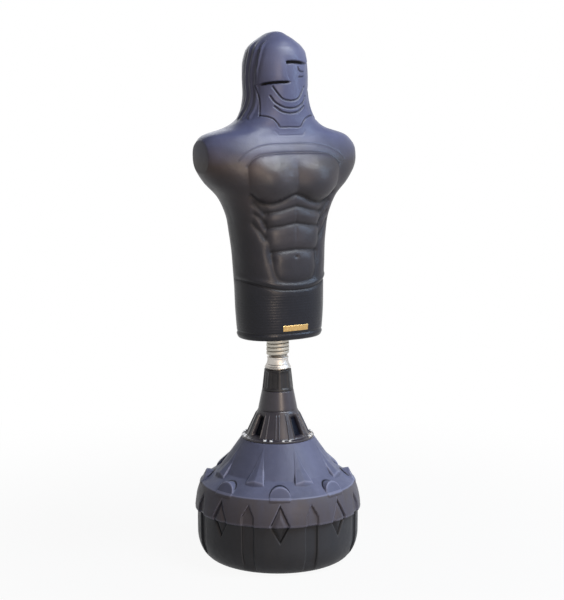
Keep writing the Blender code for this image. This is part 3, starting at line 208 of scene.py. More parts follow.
# The face: each value is its own side's, to the viewer's right of the middle where positive
BROW_PANEL = ((-112, 1531), (-100, 1534), (-84, 1538), (-49, 1542), (-4, 1543), (-10, 1560), (-13, 1604),
              (41, 1603), (76, 1598), (97, 1605), (90, 1635), (70, 1660), (34, 1680), (-34, 1682),
              (-64, 1670), (-86, 1649), (-100, 1615), (-110, 1578))
LOW_SLOT = ((-107, 1530), (-98, 1533), (-84, 1536), (-49, 1540), (-3, 1541), (6, 1540))
HIGH_SLOT = ((-12, 1602), (10, 1603), (41, 1601), (76, 1596))
NOSE_EDGE = ((-13, 1600), (-13, 1572), (-8, 1546))
CHEEK_CURLS = (
    ((31, 1587), (34, 1579), (43, 1574), (58, 1573)),
    ((34, 1557), (56, 1558)),
)

# Grooves of the torso in millimetres: line, depth and width, then depth and width of the hollow round it
TORSO_GROOVES = (
    (PEC_CREASE, 3.2, 6, 5.5, 17),
    *((line, 3.0, 5.5, 5.0, 17) for line in AB_CREASES),
    (AB_SIDE, 1.0, 8, 3.0, 18),
    *((line, 2.8, 7, 3.2, 14) for line in RIB_CREASES),
    (BELLY_EDGE, 1.4, 7, 2.8, 16),
    (CHEST_LINE, 1.3, 2.2, 0, 14),
    (CHEST_GROOVE, 2.0, 2.4, 0.8, 8),
    (BELT_GROOVE, 3.4, 3, 1.0, 9),
)
# Grooves of the face and of the hood in millimetres: line, depth, width, height of the raised edges, and
# the lengths over which the groove fades in from its left end and out to its right end
FACE_GROOVES = (
    (LOW_SLOT, 8.0, 3.0, 0, 26, 26),
    (HIGH_SLOT, 8.0, 3.4, 0, 0, 44),
    (NOSE_EDGE, 1.2, 2.0, 0, 0, 0),
    *((line, 3.0, 2.6, 0.4, 0, 0) for line in CHEEK_CURLS),
)
HOOD_GROOVES = (
    *((line, 3.2, 2.9, 0.6, 0, 0) for line in CHIN_GROOVES),
    (COLLAR_LINE, 3.2, 2.0, 0.8, 0, 0),
    (CHEEK_LINE, 3.0, 2.2, 0.8, 0, 0),
    (COLLAR_LOWER_LINE, 1.2, 1.8, 0.3, 0, 0),
)

# Base
PATTERN_COUNT = 8
PATTERN_TURN = math.radians(240.6)
LIP_RADIUS = 272 * MM
LIP_HEIGHT = 166 * MM
LIP_THICKNESS = 8 * MM
LOWER_RADIUS = LIP_RADIUS - 8 * MM
FOOT_RADIUS = LOWER_RADIUS - 54 * MM
CORNER_HEIGHT = 88 * MM
SHOULDER_RADIUS = LIP_RADIUS - 22.5 * MM
SHOULDER_HEIGHT = 253 * MM
CONE_FOOT_RADIUS = SHOULDER_RADIUS - 58.5 * MM
CONE_FOOT_HEIGHT = SHOULDER_HEIGHT + 40 * MM
TANK_TOP_RADIUS = 119.5 * MM
TANK_TOP_HEIGHT = 395.5 * MM
TANK_HOLE_RADIUS = 36.6 * MM
TANK_WALL = 8 * MM
BASE_COLUMNS = 768
CHANNEL_HALF_WIDTH = 20 * MM
CHANNEL_DEPTH = 7 * MM
CHANNEL_POINT = SHOULDER_HEIGHT - 22 * MM
CHANNEL_SHOULDER = SHOULDER_HEIGHT - 58 * MM
DIAMOND_TOP = SHOULDER_HEIGHT - 16 * MM
DIAMOND_BOTTOM = LIP_HEIGHT - 56 * MM
DIAMOND_HALF_WIDTH = 33 * MM
DIAMOND_DEPTH = 6.5 * MM
SCOOP_HALF_WIDTH = 33 * MM
SCOOP_TOP = SHOULDER_HEIGHT + 34.5 * MM
SCOOP_FACE_LEAN = 17.5 * MM
SCOOP_CROWN_SLOPE = -0.15
SCOOP_FOOT = SHOULDER_HEIGHT - 10 * MM
SCOOP_STEP = 3.0 * MM
FIN_LINE = ((125, 386), (171, 326), (207, 292.5), (226, 238))
FIN_WIDTHS = ((127, 0), (171, 16), (207, 29.5), (222, 28))
FIN_START = 122 * MM
FIN_END = 207 * MM
# Radius from which painted shade lies at the foot of the fins' walls
PAINTED_SHADE_START = 135 * MM
FIN_ROOF = 0.22
WALL_DRAFT = 3.5
SOFTNESS = 1.4 * MM
FILLER_ANGLE = math.radians(60.3)
FILLER_FROM_AXIS = SHOULDER_RADIUS - 32 * MM
FILLER_BOSS_RADIUS = 34 * MM
FILLER_BOSS_TOP = SHOULDER_HEIGHT + 55 * MM
FILLER_NECK_RADIUS = 26 * MM
FILLER_BORE_RADIUS = 21 * MM
FILLER_NECK_TOP = FILLER_BOSS_TOP + 12 * MM
FILLER_THREAD_PITCH = 4 * MM
CAP_RIBS = 24
CAP_COLUMNS = 12 * CAP_RIBS

# Cover, lock and mast
TUBE_COLUMNS = 128
RIM_COLUMNS = 160
THREAD_PITCH = 3 * MM
FLANGE_RADIUS = 118 * MM
FLANGE_BOTTOM = 395.8 * MM
FLANGE_TOP = FLANGE_BOTTOM + 7 * MM
BELL_FOOT_RADIUS = 103.5 * MM
BELL_TOP_RADIUS = 65 * MM
BELL_TOP = FLANGE_TOP + 83.4 * MM
BELL_CURVE = 1.5 * MM
COVER_TOP_RADIUS = 52 * MM
COVER_TOP = BELL_TOP + 65.2 * MM
NECK_RADIUS = 43 * MM
NECK_TOP = COVER_TOP + 36 * MM
COVER_BORE = 36 * MM
GUIDE_FLANGE_RADIUS = 88 * MM
COVER_COLUMNS = 768
POCKET_COUNT = 4
POCKET_TURN = math.radians(-2.5)
POCKET_HALF_ANGLE = math.radians(11)
POCKET_DEPTH = 11 * MM
POCKET_BOTTOM = FLANGE_TOP + 11 * MM
POCKET_TOP = FLANGE_TOP + 74 * MM
BOLT_ANGLES = (-21, -10, 10, 21)
BOLT_CIRCLE = 111 * MM
BOLT_COLUMNS = 48
BOLT_FLATS = 0.92
# Radii and heights over the washer face in millimetres, from the foot of the shank to the crown
BOLT_OUTLINE = ((3, -24), (3, -0.2), (6.4, -0.15), (6.4, 0.9), (5.2, 1.1), (5.2, 4.2), (4.6, 4.8), (2.0, 4.9))
COLLAR_BOTTOM = COVER_TOP + 0.3 * MM
COLLAR_TOP = COLLAR_BOTTOM + 69 * MM
COLLAR_BOTTOM_RADIUS = 51 * MM
COLLAR_TOP_RADIUS = 43.8 * MM
COLLAR_COLUMNS = 384
COLLAR_GROOVES = 8
COLLAR_GROOVE_TURN = math.radians(269)
MAST_RADIUS = 30 * MM
MAST_TOP = COLLAR_TOP + 3.9 * MM
SEAT_RIM = COLLAR_TOP + 4.7 * MM
SEAT_TOP = SEAT_RIM + 35.6 * MM
SEAT_RIM_RADIUS = 42.7 * MM
SEAT_RADIUS = 33.5 * MM
SPIGOT_RADIUS = 14 * MM
WIRE_RADIUS = 6 * MM
COIL_RADIUS = 31 * MM
COIL_PITCH = 12.6 * MM
COIL_TURNS = 6.5
WIRE_SQUARENESS = 0.5
WIRE_SIDES = 24
WIRE_STEPS_PER_TURN = 72
SPRING_START = SEAT_TOP + 0.3 * MM + WIRE_RADIUS


def mesh_object(name, vertices, quads, triangles=()):
    """A smooth-shaded mesh object from arrays of vertices, four-cornered and three-cornered faces."""
    mesh = bpy.data.meshes.new(name)
    quads = np.asarray(quads, np.int32).reshape(-1, 4)
    triangles = np.asarray(triangles, np.int32).reshape(-1, 3)
    corners = np.concatenate([quads.ravel(), triangles.ravel()])
    starts = np.concatenate([np.arange(len(quads)) * 4, quads.size + np.arange(len(triangles)) * 3])
    mesh.vertices.add(len(vertices))
    mesh.vertices.foreach_set("co", np.asarray(vertices, np.float32).ravel())
    mesh.loops.add(len(corners))
    mesh.loops.foreach_set("vertex_index", corners.astype(np.int32))
    mesh.polygons.add(len(starts))
    mesh.polygons.foreach_set("loop_start", starts.astype(np.int32))
    mesh.update(calc_edges=True)
    mesh.validate()
    mesh.shade_smooth()
    obj = bpy.data.objects.new(name, mesh)
    bpy.context.scene.collection.objects.link(obj)
    return obj


def grid_object(name, points, first_pole=None, last_pole=None, ring=False):
    """A surface from a grid of points: rows along one way, closed columns counter-clockwise round the other.

    A pole closes an end with one point. With ring, the last row joins the first, as on a torus.
    """
    rows, columns = points.shape[:2]
    index = np.arange(rows * columns).reshape(rows, columns)
    low = index if ring else index[:-1]
    high = np.roll(index, -1, axis=0) if ring else index[1:]
    quads = np.stack([low, np.roll(low, -1, axis=1), np.roll(high, -1, axis=1), high], axis=-1).reshape(-1, 4)
    vertices = [points.reshape(-1, 3)]
    triangles = []
    count = rows * columns
    if first_pole is not None:
        vertices.append(np.array([first_pole]))
        triangles.append(np.stack([np.roll(index[0], -1), index[0], np.full(columns, count)], axis=-1))
        count += 1
    if last_pole is not None:
        vertices.append(np.array([last_pole]))
        triangles.append(np.stack([index[-1], np.roll(index[-1], -1), np.full(columns, count)], axis=-1))
    triangles = np.concatenate(triangles) if triangles else ()
    return mesh_object(name, np.concatenate(vertices), quads, triangles)


def add_attribute(obj, name, values):
    """Stores one number for each vertex, for the materials to read."""
    layer = obj.data.attributes.new(name, "FLOAT", "POINT")
    layer.data.foreach_set("value", np.asarray(values, np.float32).ravel())


def smooth_step(value):
    """Zero below 0, one above 1, and 3t^2 - 2t^3 between."""
    t = np.clip(value, 0, 1)
    return t * t * (3 - 2 * t)


def window(value, low, high, rise, fall):
    """One between two values: a smooth step up over the rise past the low one, and down over the fall
    before the high one.
    """
    return smooth_step((value - low) / rise) * smooth_step((high - value) / fall)


def soft_max(a, b, softness):
    """The larger of two values, rounded where they meet.

    It is their mean plus half the root of their squared difference and the squared softness.
    """
    return (a + b + np.sqrt((a - b) ** 2 + softness ** 2)) / 2


def soft_min(a, b, softness):
    """The smaller of two values, rounded where they meet."""
    return -soft_max(-a, -b, softness)


def bell(distance, width):
    """A bell curve of a distance: e to the minus squared share of the width."""
    return np.exp(-(distance / width) ** 2)


def curve_through(points, steps=8):
    """A smooth curve through points (Catmull-Rom), as an array with steps points to each stretch."""
    p = np.asarray(points, float)
    p = np.concatenate([2 * p[:1] - p[1:2], p, 2 * p[-1:] - p[-2:-1]])
    t = np.linspace(0, 1, steps, endpoint=False)[None, :, None]
    a, b, c, d = (p[i:len(p) - 3 + i, None] for i in range(4))
    curve = 0.5 * (2 * b + (c - a) * t + (2 * a - 5 * b + 4 * c - d) * t ** 2
                   + (3 * b - a - 3 * c + d) * t ** 3)
    return np.concatenate([curve.reshape(-1, p.shape[1]), p[-2:-1]])


def line_distance(across, height, points):
    """The least distance from each place (across, height) to a chain of straight runs, in metres."""
    chain = np.asarray(points, float) * MM
    reach = 60 * MM
    near = ((across > chain[:, 0].min() - reach) & (across < chain[:, 0].max() + reach)
            & (height > chain[:, 1].min() - reach) & (height < chain[:, 1].max() + reach))
    distance = np.full(across.shape, reach)
    s, z = across[near], height[near]
    best = np.full(s.shape, reach)
    for (s0, z0), (s1, z1) in zip(chain, chain[1:]):
        run = np.array([s1 - s0, z1 - z0])
        t = np.clip(((s - s0) * run[0] + (z - z0) * run[1]) / (run @ run), 0, 1)
        best = np.minimum(best, np.hypot(s - s0 - t * run[0], z - z0 - t * run[1]))
    distance[near] = best
    return distance


def inside_distance(across, height, points):
    """The distance to a closed outline, positive inside it and negative outside."""
    chain = np.asarray(points, float) * MM
    closed = np.concatenate([chain, chain[:1]])
    inside = np.zeros(across.shape, bool)
    for (s0, z0), (s1, z1) in zip(closed, closed[1:]):
        if z0 == z1:
            continue
        crosses = (z0 > height) != (z1 > height)
        inside ^= crosses & (across < s0 + (s1 - s0) * (height - z0) / (z1 - z0))
    distance = line_distance(across, height, closed / MM)
    return np.where(inside, distance, -distance)


def section_values(heights):
    """The figure's section sizes at heights, smoothly through the stations and without overshoot."""
    table = np.array(FIGURE_SECTIONS, float)
    table[:, [0, 1, 2, 3, 5]] *= MM
    station, values = table[:, 0], table[:, 1:]
    step = np.diff(station)[:, None]
    rise = np.diff(values, axis=0) / step
    slope = np.zeros_like(values)
    same_way = rise[:-1] * rise[1:] > 0
    mean = (rise[:-1] * step[1:] + rise[1:] * step[:-1]) / (step[:-1] + step[1:])
    slope[1:-1] = np.where(same_way, mean, 0.0)
    slope[0], slope[-1] = rise[0], rise[-1]
    place = np.clip(np.searchsorted(station, heights, side="right") - 1, 0, len(station) - 2)
    t = ((heights - station[place]) / step[place, 0])[:, None]
    h = step[place]
    return ((2 * t**3 - 3 * t**2 + 1) * values[place] + (t**3 - 2 * t**2 + t) * h * slope[place]
            + (3 * t**2 - 2 * t**3) * values[place + 1] + (t**3 - t**2) * h * slope[place + 1])


def dome(distance, reach):
    """One inside the reach of a low mound, falling smoothly to nothing at its edge."""
    t = np.clip(1 - (distance / reach) ** 2, 0, 1)
    return t * t


def front_angles(count, crowding):
    """Angles round the figure from its front, closer together at the front than behind."""
    t = (np.arange(count) + 0.5) / count - 0.5
    return TURN * t - crowding * np.sin(TURN * t)


def figure_rings(heights, shrink, angles):
    """Level rings of the figure: squarish ovals, flat at the arm stumps and raised over the chest.

    Half width and depth follow the section sizes less shrink (one number or one for each height), and the
    oval's power is two over its squareness. Angles run from the front.
    """
    values = section_values(heights)
    half_width, front, back, square, behind = (values[:, i][:, None] for i in range(5))
    shrink = np.broadcast_to(np.asarray(shrink, float), heights.shape)[:, None]
    c, s = np.sin(angles)[None], -np.cos(angles)[None]
    x = (half_width - shrink) * np.sign(c) * np.abs(c) ** (2 / square)
    depth = np.where(s > 0, back, front) - shrink
    y = behind + depth * np.sign(s) * np.abs(s) ** (2 / square)
    limit = STUMP_REACH - shrink
    over = np.maximum(np.abs(x) - limit, 0)
    x = np.sign(x) * (np.minimum(np.abs(x), limit) + over * STUMP_DISHING)
    z = np.broadcast_to(heights[:, None], x.shape)
    chest = PEC_RISE * dome(np.abs(x) - PEC_CENTRE_X, PEC_HALF_WIDTH)
    chest = chest * dome(z - PEC_CENTRE_Z, PEC_HALF_HEIGHT)
    y = np.where(s < 0, y - chest * np.abs(s), y)
    return np.stack([x, y, z], axis=-1)


def way_round(points):
    """The distance round each ring from the middle of the front, negative on the viewer's left."""
    run = np.linalg.norm(np.diff(points, axis=1), axis=2)
    along = np.concatenate([np.zeros((len(points), 1)), np.cumsum(run, axis=1)], axis=1)
    middle = points.shape[1] // 2
    return along - (along[:, middle - 1:middle] + along[:, middle:middle + 1]) / 2


def outward(points):
    """Unit normals of a grid whose rows rise and whose columns run counter-clockwise and closed."""
    along = np.gradient(points, axis=0)
    across = np.roll(points, -1, axis=1) - np.roll(points, 1, axis=1)
    normal = np.cross(across, along)
    return normal / np.maximum(np.linalg.norm(normal, axis=2, keepdims=True), 1e-12)


def torso_relief(across, height, front):
    """How far the torso's moulded lines and muscles stand out, and how deep its creases are."""
    side = np.abs(across)
    rise = np.zeros_like(across)
    crease = np.zeros_like(across)

    pec = inside_distance(side, height, curve_through(PEC_OUTLINE))
    rise += 6.5 * MM * (1 - np.exp(-np.maximum(pec, 0) / (16 * MM)))
    breastbone = window(height, 1190 * MM, 1330 * MM, 30 * MM, 60 * MM)
    rise -= (1.1 * MM * bell(across, 20 * MM) + 0.5 * MM * bell(across, 5 * MM)) * breastbone
    for line, *sizes in TORSO_GROOVES:
        depth, width, soft_depth, soft_width = (size * MM for size in sizes)
        distance = line_distance(side, height, curve_through(line))
        rise -= depth * bell(distance, width) + soft_depth * bell(distance, soft_width)
        crease += depth * bell(distance, width * 1.3)
    ridge = line_distance(side, height, curve_through(BELT_RIDGE))
    rise += 2.6 * MM * bell(ridge, 7 * MM)
    navel = np.hypot(across / 1.6, height - NAVEL_HEIGHT)
    rise -= 3.0 * MM * bell(navel, 5 * MM)
    crease += 2.5 * MM * bell(navel, 5 * MM)
    middle = bell(across, 5 * MM) * window(height, 1030 * MM, 1170 * MM, 30 * MM, 30 * MM)
    rise -= 0.9 * MM * middle
    return rise * front, crease * front


def head_relief(across, height):
    """How far the lines of the head, its hood and its face stand out, and how deep its creases are."""
    side = np.abs(across)
    rise = np.zeros_like(across)
    crease = np.zeros_like(across)

    panel = inside_distance(across, height, BROW_PANEL)
    rise += 4.6 * MM * smooth_step((panel + 1 * MM) / (3 * MM))
    rise += 1.6 * MM * smooth_step(panel / (22 * MM))
    for place, grooves in ((across, FACE_GROOVES), (side, HOOD_GROOVES)):
        for line, *sizes in grooves:
            depth, width, edge, left, right = (size * MM for size in sizes)
            distance = line_distance(place, height, curve_through(line))
            first, last = line[0][0] * MM, line[-1][0] * MM
            taper = smooth_step((place - first) / left) if left else 1.0
            taper = taper * smooth_step((last - place) / right) if right else taper
            rise += taper * (edge * bell(distance, 3 * width) - (depth + edge) * bell(distance, width))
            crease += taper * depth * bell(distance, width * 1.2)
    for line in HOOD_RIDGES:
        distance = line_distance(side, height, curve_through(line))
        beside = bell(distance - 9 * MM, 4 * MM)
        rise += 2.2 * MM * bell(distance, 5 * MM)
        rise -= 0.8 * MM * beside
        crease += 0.6 * MM * beside
    return rise, crease


def figure_heights():
    """Heights of the skin's rows, closer together over the head than over the torso."""
    low = FIGURE_BOTTOM + FIGURE_EDGE
    torso = np.linspace(low, NECK_HEIGHT, TORSO_ROWS, endpoint=False)
    head = np.linspace(NECK_HEIGHT, FIGURE_CROWN, HEAD_ROWS)
    return np.concatenate([torso, head])


def underside(columns_angle, shrink, low, hole_radius, steps):
    """Rings from the round hole in the underside, out to the figure's edge and round it."""
    hole = np.stack([hole_radius * np.sin(columns_angle), -hole_radius * np.cos(columns_angle),
                     np.full(columns_angle.shape, low)], axis=-1)
    turn = np.linspace(0, 1, steps)
    edge = FIGURE_EDGE * (1 - np.sin(math.pi / 2 * turn))
    rim = figure_rings(low + FIGURE_EDGE * (1 - np.cos(math.pi / 2 * turn)), shrink + edge, columns_angle)
    share = np.linspace(0, 1, 8)[:-1, None, None]
    flat = hole[None] * (1 - share) + rim[:1] * share
    return np.concatenate([flat, rim[:-1]])


def crown_rings(last, top, steps):
    """Rings that close a dome over the last ring: it shrinks evenly while the rise slows towards the top."""
    centre = last.mean(axis=0)
    share = np.linspace(0, 1, steps, endpoint=False)[1:, None, None]
    ring = last[None] * (1 - share) + centre * share
    ring[:, :, 2] = last[0, 2] + (top - last[0, 2]) * (1 - (1 - share[:, :, 0]) ** 2)
    return ring, (centre[0], centre[1], top)


def make_figure_skin():
    """The figure's skin: rings displaced along their normals by the moulded lines, with an inner wall."""
    angles = front_angles(FIGURE_COLUMNS, FRONT_CROWDING)
    heights = figure_heights()
    body = figure_rings(heights, 0.0, angles)
    across, height = way_round(body), body[:, :, 2]
    normals = outward(body)
    front = smooth_step((0.35 - normals[:, :, 1]) / 0.5)
    torso = smooth_step((NECK_HEIGHT - 15 * MM - height) / (20 * MM))
    rise, crease = torso_relief(across, height, front)
    rise, crease = rise * torso, crease * torso
    head_rise, head_crease = head_relief(across, height)
    neck = smooth_step((height - 1360 * MM) / (20 * MM))
    fade = smooth_step((CROWN_FADE - height) / (44 * MM))
    rise += head_rise * neck * fade
    crease += head_crease * neck * fade
    hem = height - HEM_HEIGHT
    rise += 1.6 * MM * bell(hem, 4 * MM) - 2.0 * MM * bell(hem - 8 * MM, 2.4 * MM)
    crease += 1.6 * MM * bell(hem - 8 * MM, 3 * MM)
    rise += figure_ripples(body)
    body = body + normals * rise[:, :, None]
    low = underside(angles, 0.0, FIGURE_BOTTOM, HOLE_RADIUS, 8)
    crown, top = crown_rings(body[-1], FIGURE_TOP, 12)
    outer = np.concatenate([low, body, crown])
    inner_heights = np.linspace(FIGURE_BOTTOM + SKIN_DEPTH + FIGURE_EDGE, FIGURE_CROWN - SKIN_DEPTH, 60)
    inner_low = underside(angles, SKIN_DEPTH, FIGURE_BOTTOM + SKIN_DEPTH, HOLE_RADIUS, 3)
    inner = np.concatenate([inner_low, figure_rings(inner_heights, SKIN_DEPTH, angles)])
    inner_top = (top[0], top[1], FIGURE_TOP - SKIN_DEPTH)
    grid = np.concatenate([inner[::-1], outer])
    skin = grid_object("figure_skin_moulding", grid, inner_top, top)
    depths = np.zeros(grid.shape[:2])
    depths[len(inner) + len(low):len(inner) + len(low) + len(body)] = crease
    # The crease depth is read by the leather as painted shade.
    add_attribute(skin, "crease", np.concatenate([depths.ravel() / (5 * MM), [0, 0]]))
    return skin


def figure_ripples(points):
    """Shallow unevenness of moulded leather: the sum of two products of crossing sine waves."""
    x, y, z = points[:, :, 0], points[:, :, 1], points[:, :, 2]
    wave = np.sin(31 * x + 12 * z + 1.3) * np.sin(23 * z - 17 * y + 0.4)
    wave += 0.6 * np.sin(57 * z + 9 * x + 2.1) * np.sin(41 * x - 33 * y)
    return 0.45 * MM * wave


def make_foam():
    """The foam body: the figure's rings set in under the skin, with room for the steel core inside."""
    angles = front_angles(FOAM_COLUMNS, 0.0)
    gap = 0.4 * MM
    shrink = SKIN_DEPTH + FOAM_GAP
    plate_low, plate_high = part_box("core_plate")
    cap_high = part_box("core_cap")[1]
    tube_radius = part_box("core_tube")[1][0] + gap
    half = np.array([plate_high[0] + gap, plate_high[1] + gap])

    def oval(width, depth, level):
        """One level ring of half width and depth."""
        ring = [width * np.sin(angles), -depth * np.cos(angles), np.full(angles.shape, level)]
        return np.stack(ring, axis=-1)

    plate_bottom, plate_top = plate_low[2] - gap, plate_high[2] + gap
    bore = [oval(tube_radius, tube_radius, cap_high[2] + gap), oval(tube_radius, tube_radius, plate_top),
            oval(half[0], half[1], plate_top), oval(half[0], half[1], plate_bottom),
            oval(HOLE_RADIUS + gap, HOLE_RADIUS + gap, plate_bottom)]
    low = FIGURE_BOTTOM + shrink
    heights = np.linspace(low + FIGURE_EDGE, FIGURE_CROWN - shrink, FOAM_ROWS)
    outer = [underside(angles, shrink, low, HOLE_RADIUS + gap, 4), figure_rings(heights, shrink, angles)]
    grid = np.concatenate([np.array(bore)] + outer)
    centre = grid[-1].mean(axis=0)
    top = (centre[0], centre[1], FIGURE_TOP - shrink)
    return grid_object("foam_core", grid, (0, 0, cap_high[2] + gap), top)


def quadratic(start, control, end, steps):
    """Points of a quadratic curve from start to end that leans towards the control point."""
    t = np.linspace(0, 1, steps)[:, None]
    a, b, c = np.array(start), np.array(control), np.array(end)
    return (1 - t) ** 2 * a + 2 * t * (1 - t) * b + t ** 2 * c


def straight(start, end, steps):
    """Evenly spaced points of a straight line from start to end."""
    t = np.linspace(0, 1, steps)[:, None]
    return np.array(start) * (1 - t) + np.array(end) * t


def points_at(radius, height, *offsets):
    """Points of an outline, by their offsets in millimetres from a radius and a height."""
    return np.array([(radius + r * MM, height + z * MM) for r, z in offsets])


def from_polar(angle, radius, height):
    """Points from their angle about the Z axis, their distance from it and their height."""
    return np.stack([radius * np.cos(angle), radius * np.sin(angle), height], axis=-1)


def polar(grid):
    """Angles about the Z axis, distances from it and heights of a grid's points."""
    x, y, height = grid[:, :, 0], grid[:, :, 1], grid[:, :, 2].copy()
    return np.arctan2(y, x), np.hypot(x, y), height


def turned_grid(profile, columns, phase=0.0):
    """Rings of a profile of (radius, height) points turned about Z."""
    angle = phase + TURN * np.arange(columns) / columns
    radius, height = profile[:, 0][:, None], profile[:, 1][:, None]
    return from_polar(angle, radius, height + 0 * angle)


def pattern_offset(angle, count, turn):
    """The signed angle from each direction to the nearest of count directions that start at turn."""
    share = TURN / count
    return (angle - turn + share / 2) % share - share / 2


def pattern_sideways(angle, radius):
    """Distances along the round to the nearest diamond's middle line, and to the nearest channel's."""
    near = pattern_offset(angle, PATTERN_COUNT, PATTERN_TURN)
    between = pattern_offset(angle, PATTERN_COUNT, PATTERN_TURN + TURN / PATTERN_COUNT / 2)
    return radius * near, radius * between


def filler_centre():
    """Where the filler's axis meets the floor."""
    return FILLER_FROM_AXIS * math.cos(FILLER_ANGLE), FILLER_FROM_AXIS * math.sin(FILLER_ANGLE)


def upper_profile():
    """The base's outline from the hole in its top, down the cone and the shoulder to the lip."""
    top = straight((TANK_HOLE_RADIUS, TANK_TOP_HEIGHT), (TANK_TOP_RADIUS - 2 * MM, TANK_TOP_HEIGHT), 5)
    cone = straight((TANK_TOP_RADIUS, TANK_TOP_HEIGHT - 1 * MM), (CONE_FOOT_RADIUS, CONE_FOOT_HEIGHT), 28)
    shoulder = quadratic((CONE_FOOT_RADIUS, CONE_FOOT_HEIGHT),
                         (SHOULDER_RADIUS - 27 * MM, SHOULDER_HEIGHT + 20 * MM),
                         (SHOULDER_RADIUS - 0.6 * MM, SHOULDER_HEIGHT + 0.6 * MM), 52)[1:]
    band = quadratic((SHOULDER_RADIUS + 1.6 * MM, SHOULDER_HEIGHT - 1.5 * MM),
                     (LIP_RADIUS - 4 * MM, SHOULDER_HEIGHT - 34 * MM),
                     (LIP_RADIUS, LIP_HEIGHT + LIP_THICKNESS), 26)
    lip = points_at(LIP_RADIUS, LIP_HEIGHT, (0.6, 4), (0, 0), (-2.5, -1.2))
    return top, cone, shoulder, band, lip


def base_relief(radius, height, sideways, sideways_between):
    """Heights of the fins and scoops over the shoulder, from the distances to their middle lines.

    A fin's top follows its line over the radius and slopes down from its middle to its edges. A scoop is a
    half-round arch cut by a leaning face. The third value is wear and painted light: up to one on the edges,
    as wear and a painted highlight, and down to minus 1.2 as painted shade at the foot of the walls.
    """
    from_fin, from_scoop = np.abs(sideways_between), np.abs(sideways)
    fin_top = np.interp(radius, [r * MM for r, _ in FIN_LINE], [z * MM for _, z in FIN_LINE])
    fin_half = np.interp(radius, [r * MM for r, _ in FIN_WIDTHS], [w * MM for _, w in FIN_WIDTHS])
    fin_top = fin_top + FIN_ROOF * (0.4 * fin_half - np.minimum(from_fin, fin_half))
    fin = fin_top - WALL_DRAFT * np.maximum(from_fin - fin_half, 0)
    fin = np.where(radius > FIN_START, fin, 0.0)
    crown = SCOOP_TOP + SCOOP_CROWN_SLOPE * (SHOULDER_RADIUS + 1 * MM - SCOOP_FACE_LEAN - radius)
    arch = np.sqrt(np.maximum(SCOOP_HALF_WIDTH ** 2 - sideways ** 2, 0)) + crown - SCOOP_HALF_WIDTH
    beside_arch = SHOULDER_HEIGHT - WALL_DRAFT * (from_scoop - SCOOP_HALF_WIDTH)
    arch = np.where(from_scoop < SCOOP_HALF_WIDTH, arch, beside_arch)
    behind = SHOULDER_RADIUS + 1 * MM - radius
    face = SHOULDER_HEIGHT + behind * (SCOOP_TOP - SHOULDER_HEIGHT) / SCOOP_FACE_LEAN
    scoop = soft_min(arch, face, SOFTNESS)
    # Wear and painted highlight: lighter along the top edges of the fins and scoops and at the fins' ends.
    fin_edge = bell(from_fin - fin_half, 2.2 * MM) * smooth_step((fin_top - height) / (5 * MM))
    fin_end = bell(radius - FIN_END, 1.6 * MM) * smooth_step((fin_half - from_fin) / (1 * MM))
    fin_edge = np.maximum(fin_edge, 0.7 * fin_end)
    scoop_edge = bell(arch - face, 4 * MM) * smooth_step((scoop - height) / (5 * MM))
    wear_and_painted_light = np.maximum(fin_edge * (radius > FIN_START), scoop_edge)
    # Painted shade: darker at the foot of the fins' and scoops' walls, where shade falls.
    outside = smooth_step((from_fin - fin_half) / (2 * MM)) + smooth_step((radius - FIN_END) / (3 * MM))
    beside_fin = bell(fin - height, 5 * MM) * np.minimum(outside, 1)
    beside_fin *= 1 - 0.75 * smooth_step((radius - FIN_END + 3 * MM) / (4 * MM))
    beside_scoop = bell(scoop - height, 3 * MM) * (radius > CONE_FOOT_RADIUS + 4 * MM)
    painted_shade = np.maximum(beside_fin * (radius > PAINTED_SHADE_START), beside_scoop)
    return fin, scoop, wear_and_painted_light - 1.2 * painted_shade * (1 - wear_and_painted_light)


def side_relief(height, sideways, sideways_between):
    """How far the channels and diamonds sink into the base's side, and the wear and painted light along them.

    A channel is a strip that narrows evenly to a point over its shoulder height. A diamond lies where the
    shares of its half width and half height add up to less than one, and sinks most just inside its edge.
    """
    over = np.maximum((height - CHANNEL_SHOULDER) / (CHANNEL_POINT - CHANNEL_SHOULDER), 0)
    share = smooth_step((CHANNEL_HALF_WIDTH * (1 - over) - np.abs(sideways_between)) / (4 * MM) + 0.5)
    middle = LIP_HEIGHT + LIP_THICKNESS / 2
    rise = np.where(height > middle, (height - middle) / (DIAMOND_TOP - middle),
                    (middle - height) / (middle - DIAMOND_BOTTOM))
    inside = 1 - rise - np.abs(sideways) / DIAMOND_HALF_WIDTH
    groove = smooth_step(inside / 0.10) * (1 - smooth_step((inside - 0.10) / 0.55))
    diamond = DIAMOND_DEPTH * groove + 0.8 * MM * smooth_step(inside / 0.1)
    # Wear and painted highlight along the edges; painted shade inside the channels and just inside the
    # diamonds' edges.
    wear_and_painted_light = 0.8 * bell(share - 0.1, 0.12) * (share > 0.005) - bell(share - 0.8, 0.25) * (share < 0.999)
    wear_and_painted_light += 0.8 * bell(inside + 0.02, 0.03) - bell(inside - 0.11, 0.07)
    return CHANNEL_DEPTH * share, diamond, wear_and_painted_light


